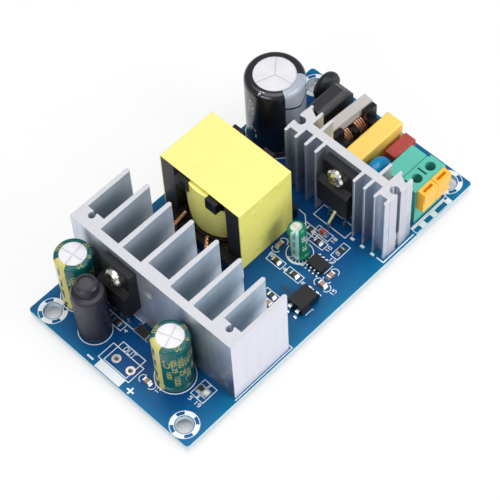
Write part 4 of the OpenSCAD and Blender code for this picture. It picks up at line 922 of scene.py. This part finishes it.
caps, fillets = Blocks(), Blocks()
label = FIRST_LABEL
for node, rounded in (("chip_resistors", False), ("chip_capacitors", True), ("chip_diode", False),
                      ("indicator_led", False)):
    for low, high in solids(node):
        size = high - low
        along = 0 if size.x > size.y else 1
        print_chip((low + high) / 2, along, rounded, str(label))
        cap_ends(low, high, along)
        label += 1

caps.make("chip_end_caps", lead_metal, "tinned_leads")
fillets.make("chip_solder", solder, "solder")
silk.make("board_print", printed("print_white", (0.70, 0.74, 0.76)))
tin.make("output_pads", metal("pad_tin", (0.66, 0.58, 0.53), 0.4), "solder")


# ---------------------------------------------------------------- rating numbers on the sleeves

def print_sleeve(node, shader, slot_name, column, ring):
    """Numbers down the side, as (angle, top, words, height), and round the shoulder, as (angle, words)."""
    x0, _, x1, _ = edges(node)
    radius = (x1 - x0) / 2
    ink = Ink(on_side(node), 0.004, 0.035)
    for turn, top, words, height in column:
        ink.bent_text(words, turn, top, radius, height, 0.14 + height * 0.08, False)
    ink.make(node.replace("sleeve", "print"), shader, slot_name)
    if ring:
        ink = Ink(on_shoulder(node), 0.0, 0.06)
        for turn, words in ring:
            ink.bent_text(words, turn, radius - 0.9, radius, 1.0, 0.2, True)
        ink.make(node.replace("sleeve", "ring_print"), shader, slot_name)


gold_ink = printed("print_gold", (0.36, 0.34, 0.10), 0.35)
pale_ink = printed("print_pale", (0.55, 0.56, 0.6), 0.35)
OUTPUT_COLUMN = ((12, 17.4, "25", 2.0), (12, 12.2, "1000", 1.0), (30, 18.0, "105", 1.1), (30, 13.6, "25", 1.1),
                 (34, 9.8, "1000", 1.3), (50, 18.4, "1000", 1.3), (52, 11.8, "25", 1.3), (70, 17.2, "105", 1.3),
                 (72, 11.4, "1000", 1.1), (92, 17.6, "25", 1.6), (92, 12.0, "105", 1.0))
OUTPUT_RING = ((-108, "25"), (-60, "0"), (-15, "105"), (100, "1000"))
for node, start in (("output_capacitor_a_sleeve", -165), ("output_capacitor_b_sleeve", -158)):
    print_sleeve(node, gold_ink, "sleeve_green", [(start + turn, *rest) for turn, *rest in OUTPUT_COLUMN], OUTPUT_RING)
print_sleeve("bulk_capacitor_sleeve", pale_ink, "sleeve_black",
             ((-188, 23.0, "400", 2.0), (-186, 12.0, "47", 2.4), (10, 20.0, "105", 2.0)), ((-165, "47"),))
print_sleeve("small_capacitor_sleeve", pale_ink, "sleeve_green",
             ((-100, 11.0, "50", 1.0), (-100, 7.6, "10", 1.0), (-70, 10.4, "105", 1.0)), ())

# The milled slot beside the optocoupler is not cut: a dark patch on the board stands for it, painted shade
slot_shade = Ink(on_board, 0.0, 0.004)
x0, _, x1, y1 = edges("optocoupler")
slot_x = (x0 + x1) / 2
slot_shade.block(slot_x - 0.5, y1 - 1.0, slot_x + 0.4, y1 + 5.6)
slot_shade.make("board_slot_shade", printed("slot_dark", (0.001, 0.040, 0.092), 0.6))


# ---------------------------------------------------------------- camera, floor and light

CAMERA_AZIMUTH, CAMERA_ELEVATION, CAMERA_ROLL = (math.radians(v) for v in (-42.80, 57.22, -3.71))
CAMERA_RIGHT, CAMERA_UP, CAMERA_BACK = -1.05 * MM, -1.24 * MM, 480.96 * MM
CAMERA_LENS, SENSOR_WIDTH = 132.47, 36


def camera():
    """The camera looks down on the corner between the output end and the front edge."""
    back = Vector((math.sin(CAMERA_AZIMUTH) * math.cos(CAMERA_ELEVATION),
                   -math.cos(CAMERA_AZIMUTH) * math.cos(CAMERA_ELEVATION), math.sin(CAMERA_ELEVATION)))
    level = Vector((math.cos(CAMERA_AZIMUTH), math.sin(CAMERA_AZIMUTH), 0))
    upright = back.cross(level)
    right = math.cos(CAMERA_ROLL) * level + math.sin(CAMERA_ROLL) * upright
    up = -math.sin(CAMERA_ROLL) * level + math.cos(CAMERA_ROLL) * upright
    data = bpy.data.cameras.new("camera")
    data.sensor_width = SENSOR_WIDTH
    data.lens = CAMERA_LENS
    data.clip_start = 0.01
    obj = bpy.data.objects.new("camera", data)
    bpy.context.scene.collection.objects.link(obj)
    place = back * CAMERA_BACK + right * CAMERA_RIGHT + up * CAMERA_UP
    turn = Matrix((right, up, back)).transposed().to_4x4()
    obj.matrix_world = Matrix.Translation(place + Vector((0, 0, TOP))) @ turn
    bpy.context.scene.camera = obj


FLOOR_HALF, FLOOR_GAP = 3.0, 0.02 * MM
OWN_WHITE_OPEN, OWN_WHITE_UNDER = 0.7, 0.1


def floor():
    """A white floor that keeps the shadow. To camera, mirror and glass rays part of its white is its own:
    much of it in the open, little under the board, where its holes show."""
    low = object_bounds()[0].z
    mesh = bpy.data.meshes.new("floor")
    mesh.from_pydata([(-FLOOR_HALF, -FLOOR_HALF, 0), (FLOOR_HALF, -FLOOR_HALF, 0),
                      (FLOOR_HALF, FLOOR_HALF, 0), (-FLOOR_HALF, FLOOR_HALF, 0)], [], [(0, 1, 2, 3)])
    obj = bpy.data.objects.new("floor", mesh)
    obj.location.z = low - FLOOR_GAP
    bpy.context.scene.collection.objects.link(obj)
    s = Shader("floor", (0.8, 0.8, 0.8), 1.0, Specular_Ior_Level=0.0)
    rays = s.add("ShaderNodeLightPath").outputs
    seen = s.most(rays["Is Camera Ray"], rays["Is Glossy Ray"], rays["Is Transmission Ray"])
    spot = s.axes()
    own = s.most(*(s.span(s.math("ABSOLUTE", spot[axis]), BOARD_HIGH[axis] - 2 * MM, BOARD_HIGH[axis],
                          OWN_WHITE_UNDER, OWN_WHITE_OPEN) for axis in (0, 1)))
    glow = s.add("ShaderNodeEmission")
    glow.inputs["Strength"].default_value = 1.0
    mixer = s.add("ShaderNodeMixShader")
    s.link(s.times(seen, own), mixer.inputs[0])
    s.link(s.bsdf.outputs[0], mixer.inputs[1])
    s.link(glow.outputs[0], mixer.inputs[2])
    s.link(mixer.outputs[0], s.nodes["Material Output"].inputs["Surface"])
    mesh.materials.append(s.material)
    obj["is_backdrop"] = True


LAMPS = (  # name, place, target, size in metres and power in watts
    ("overhead", (0.02, 0.03, 0.55), (0, 0, 0), 0.5, 2.1),
    ("front", (0.25, -0.55, 0.35), (0, 0, 0.01), 0.4, 2.9),
    ("left", (-0.5, -0.1, 0.3), (0, 0, 0.01), 0.3, 1.3),
)


def soft_box(name, place, target, size, watts):
    """A square lamp at place, facing target."""
    data = bpy.data.lights.new(name, "AREA")
    data.size = size
    data.energy = watts
    obj = bpy.data.objects.new(name, data)
    obj.location = place
    obj.rotation_euler = (Vector(target) - Vector(place)).to_track_quat("-Z", "Y").to_euler()
    bpy.context.scene.collection.objects.link(obj)


def world():
    """An even grey surround for light, and a white one for what the camera sees."""
    surround = bpy.data.worlds.new("studio")
    surround.use_nodes = True
    nodes, links = surround.node_tree.nodes, surround.node_tree.links
    back = nodes["Background"]
    back.inputs["Color"].default_value = (0.85, 0.88, 0.95, 1)
    back.inputs["Strength"].default_value = 0.45
    white = nodes.new("ShaderNodeBackground")
    white.inputs["Color"].default_value = (1, 1, 1, 1)
    white.inputs["Strength"].default_value = 1.0
    path = nodes.new("ShaderNodeLightPath")
    mixer = nodes.new("ShaderNodeMixShader")
    links.new(path.outputs["Is Camera Ray"], mixer.inputs[0])
    links.new(back.outputs[0], mixer.inputs[1])
    links.new(white.outputs[0], mixer.inputs[2])
    links.new(mixer.outputs[0], nodes["World Output"].inputs["Surface"])
    bpy.context.scene.world = surround


camera()
floor()
world()
for lamp in LAMPS:
    soft_box(*lamp)

bpy.context.scene.view_settings.view_transform = "Standard"
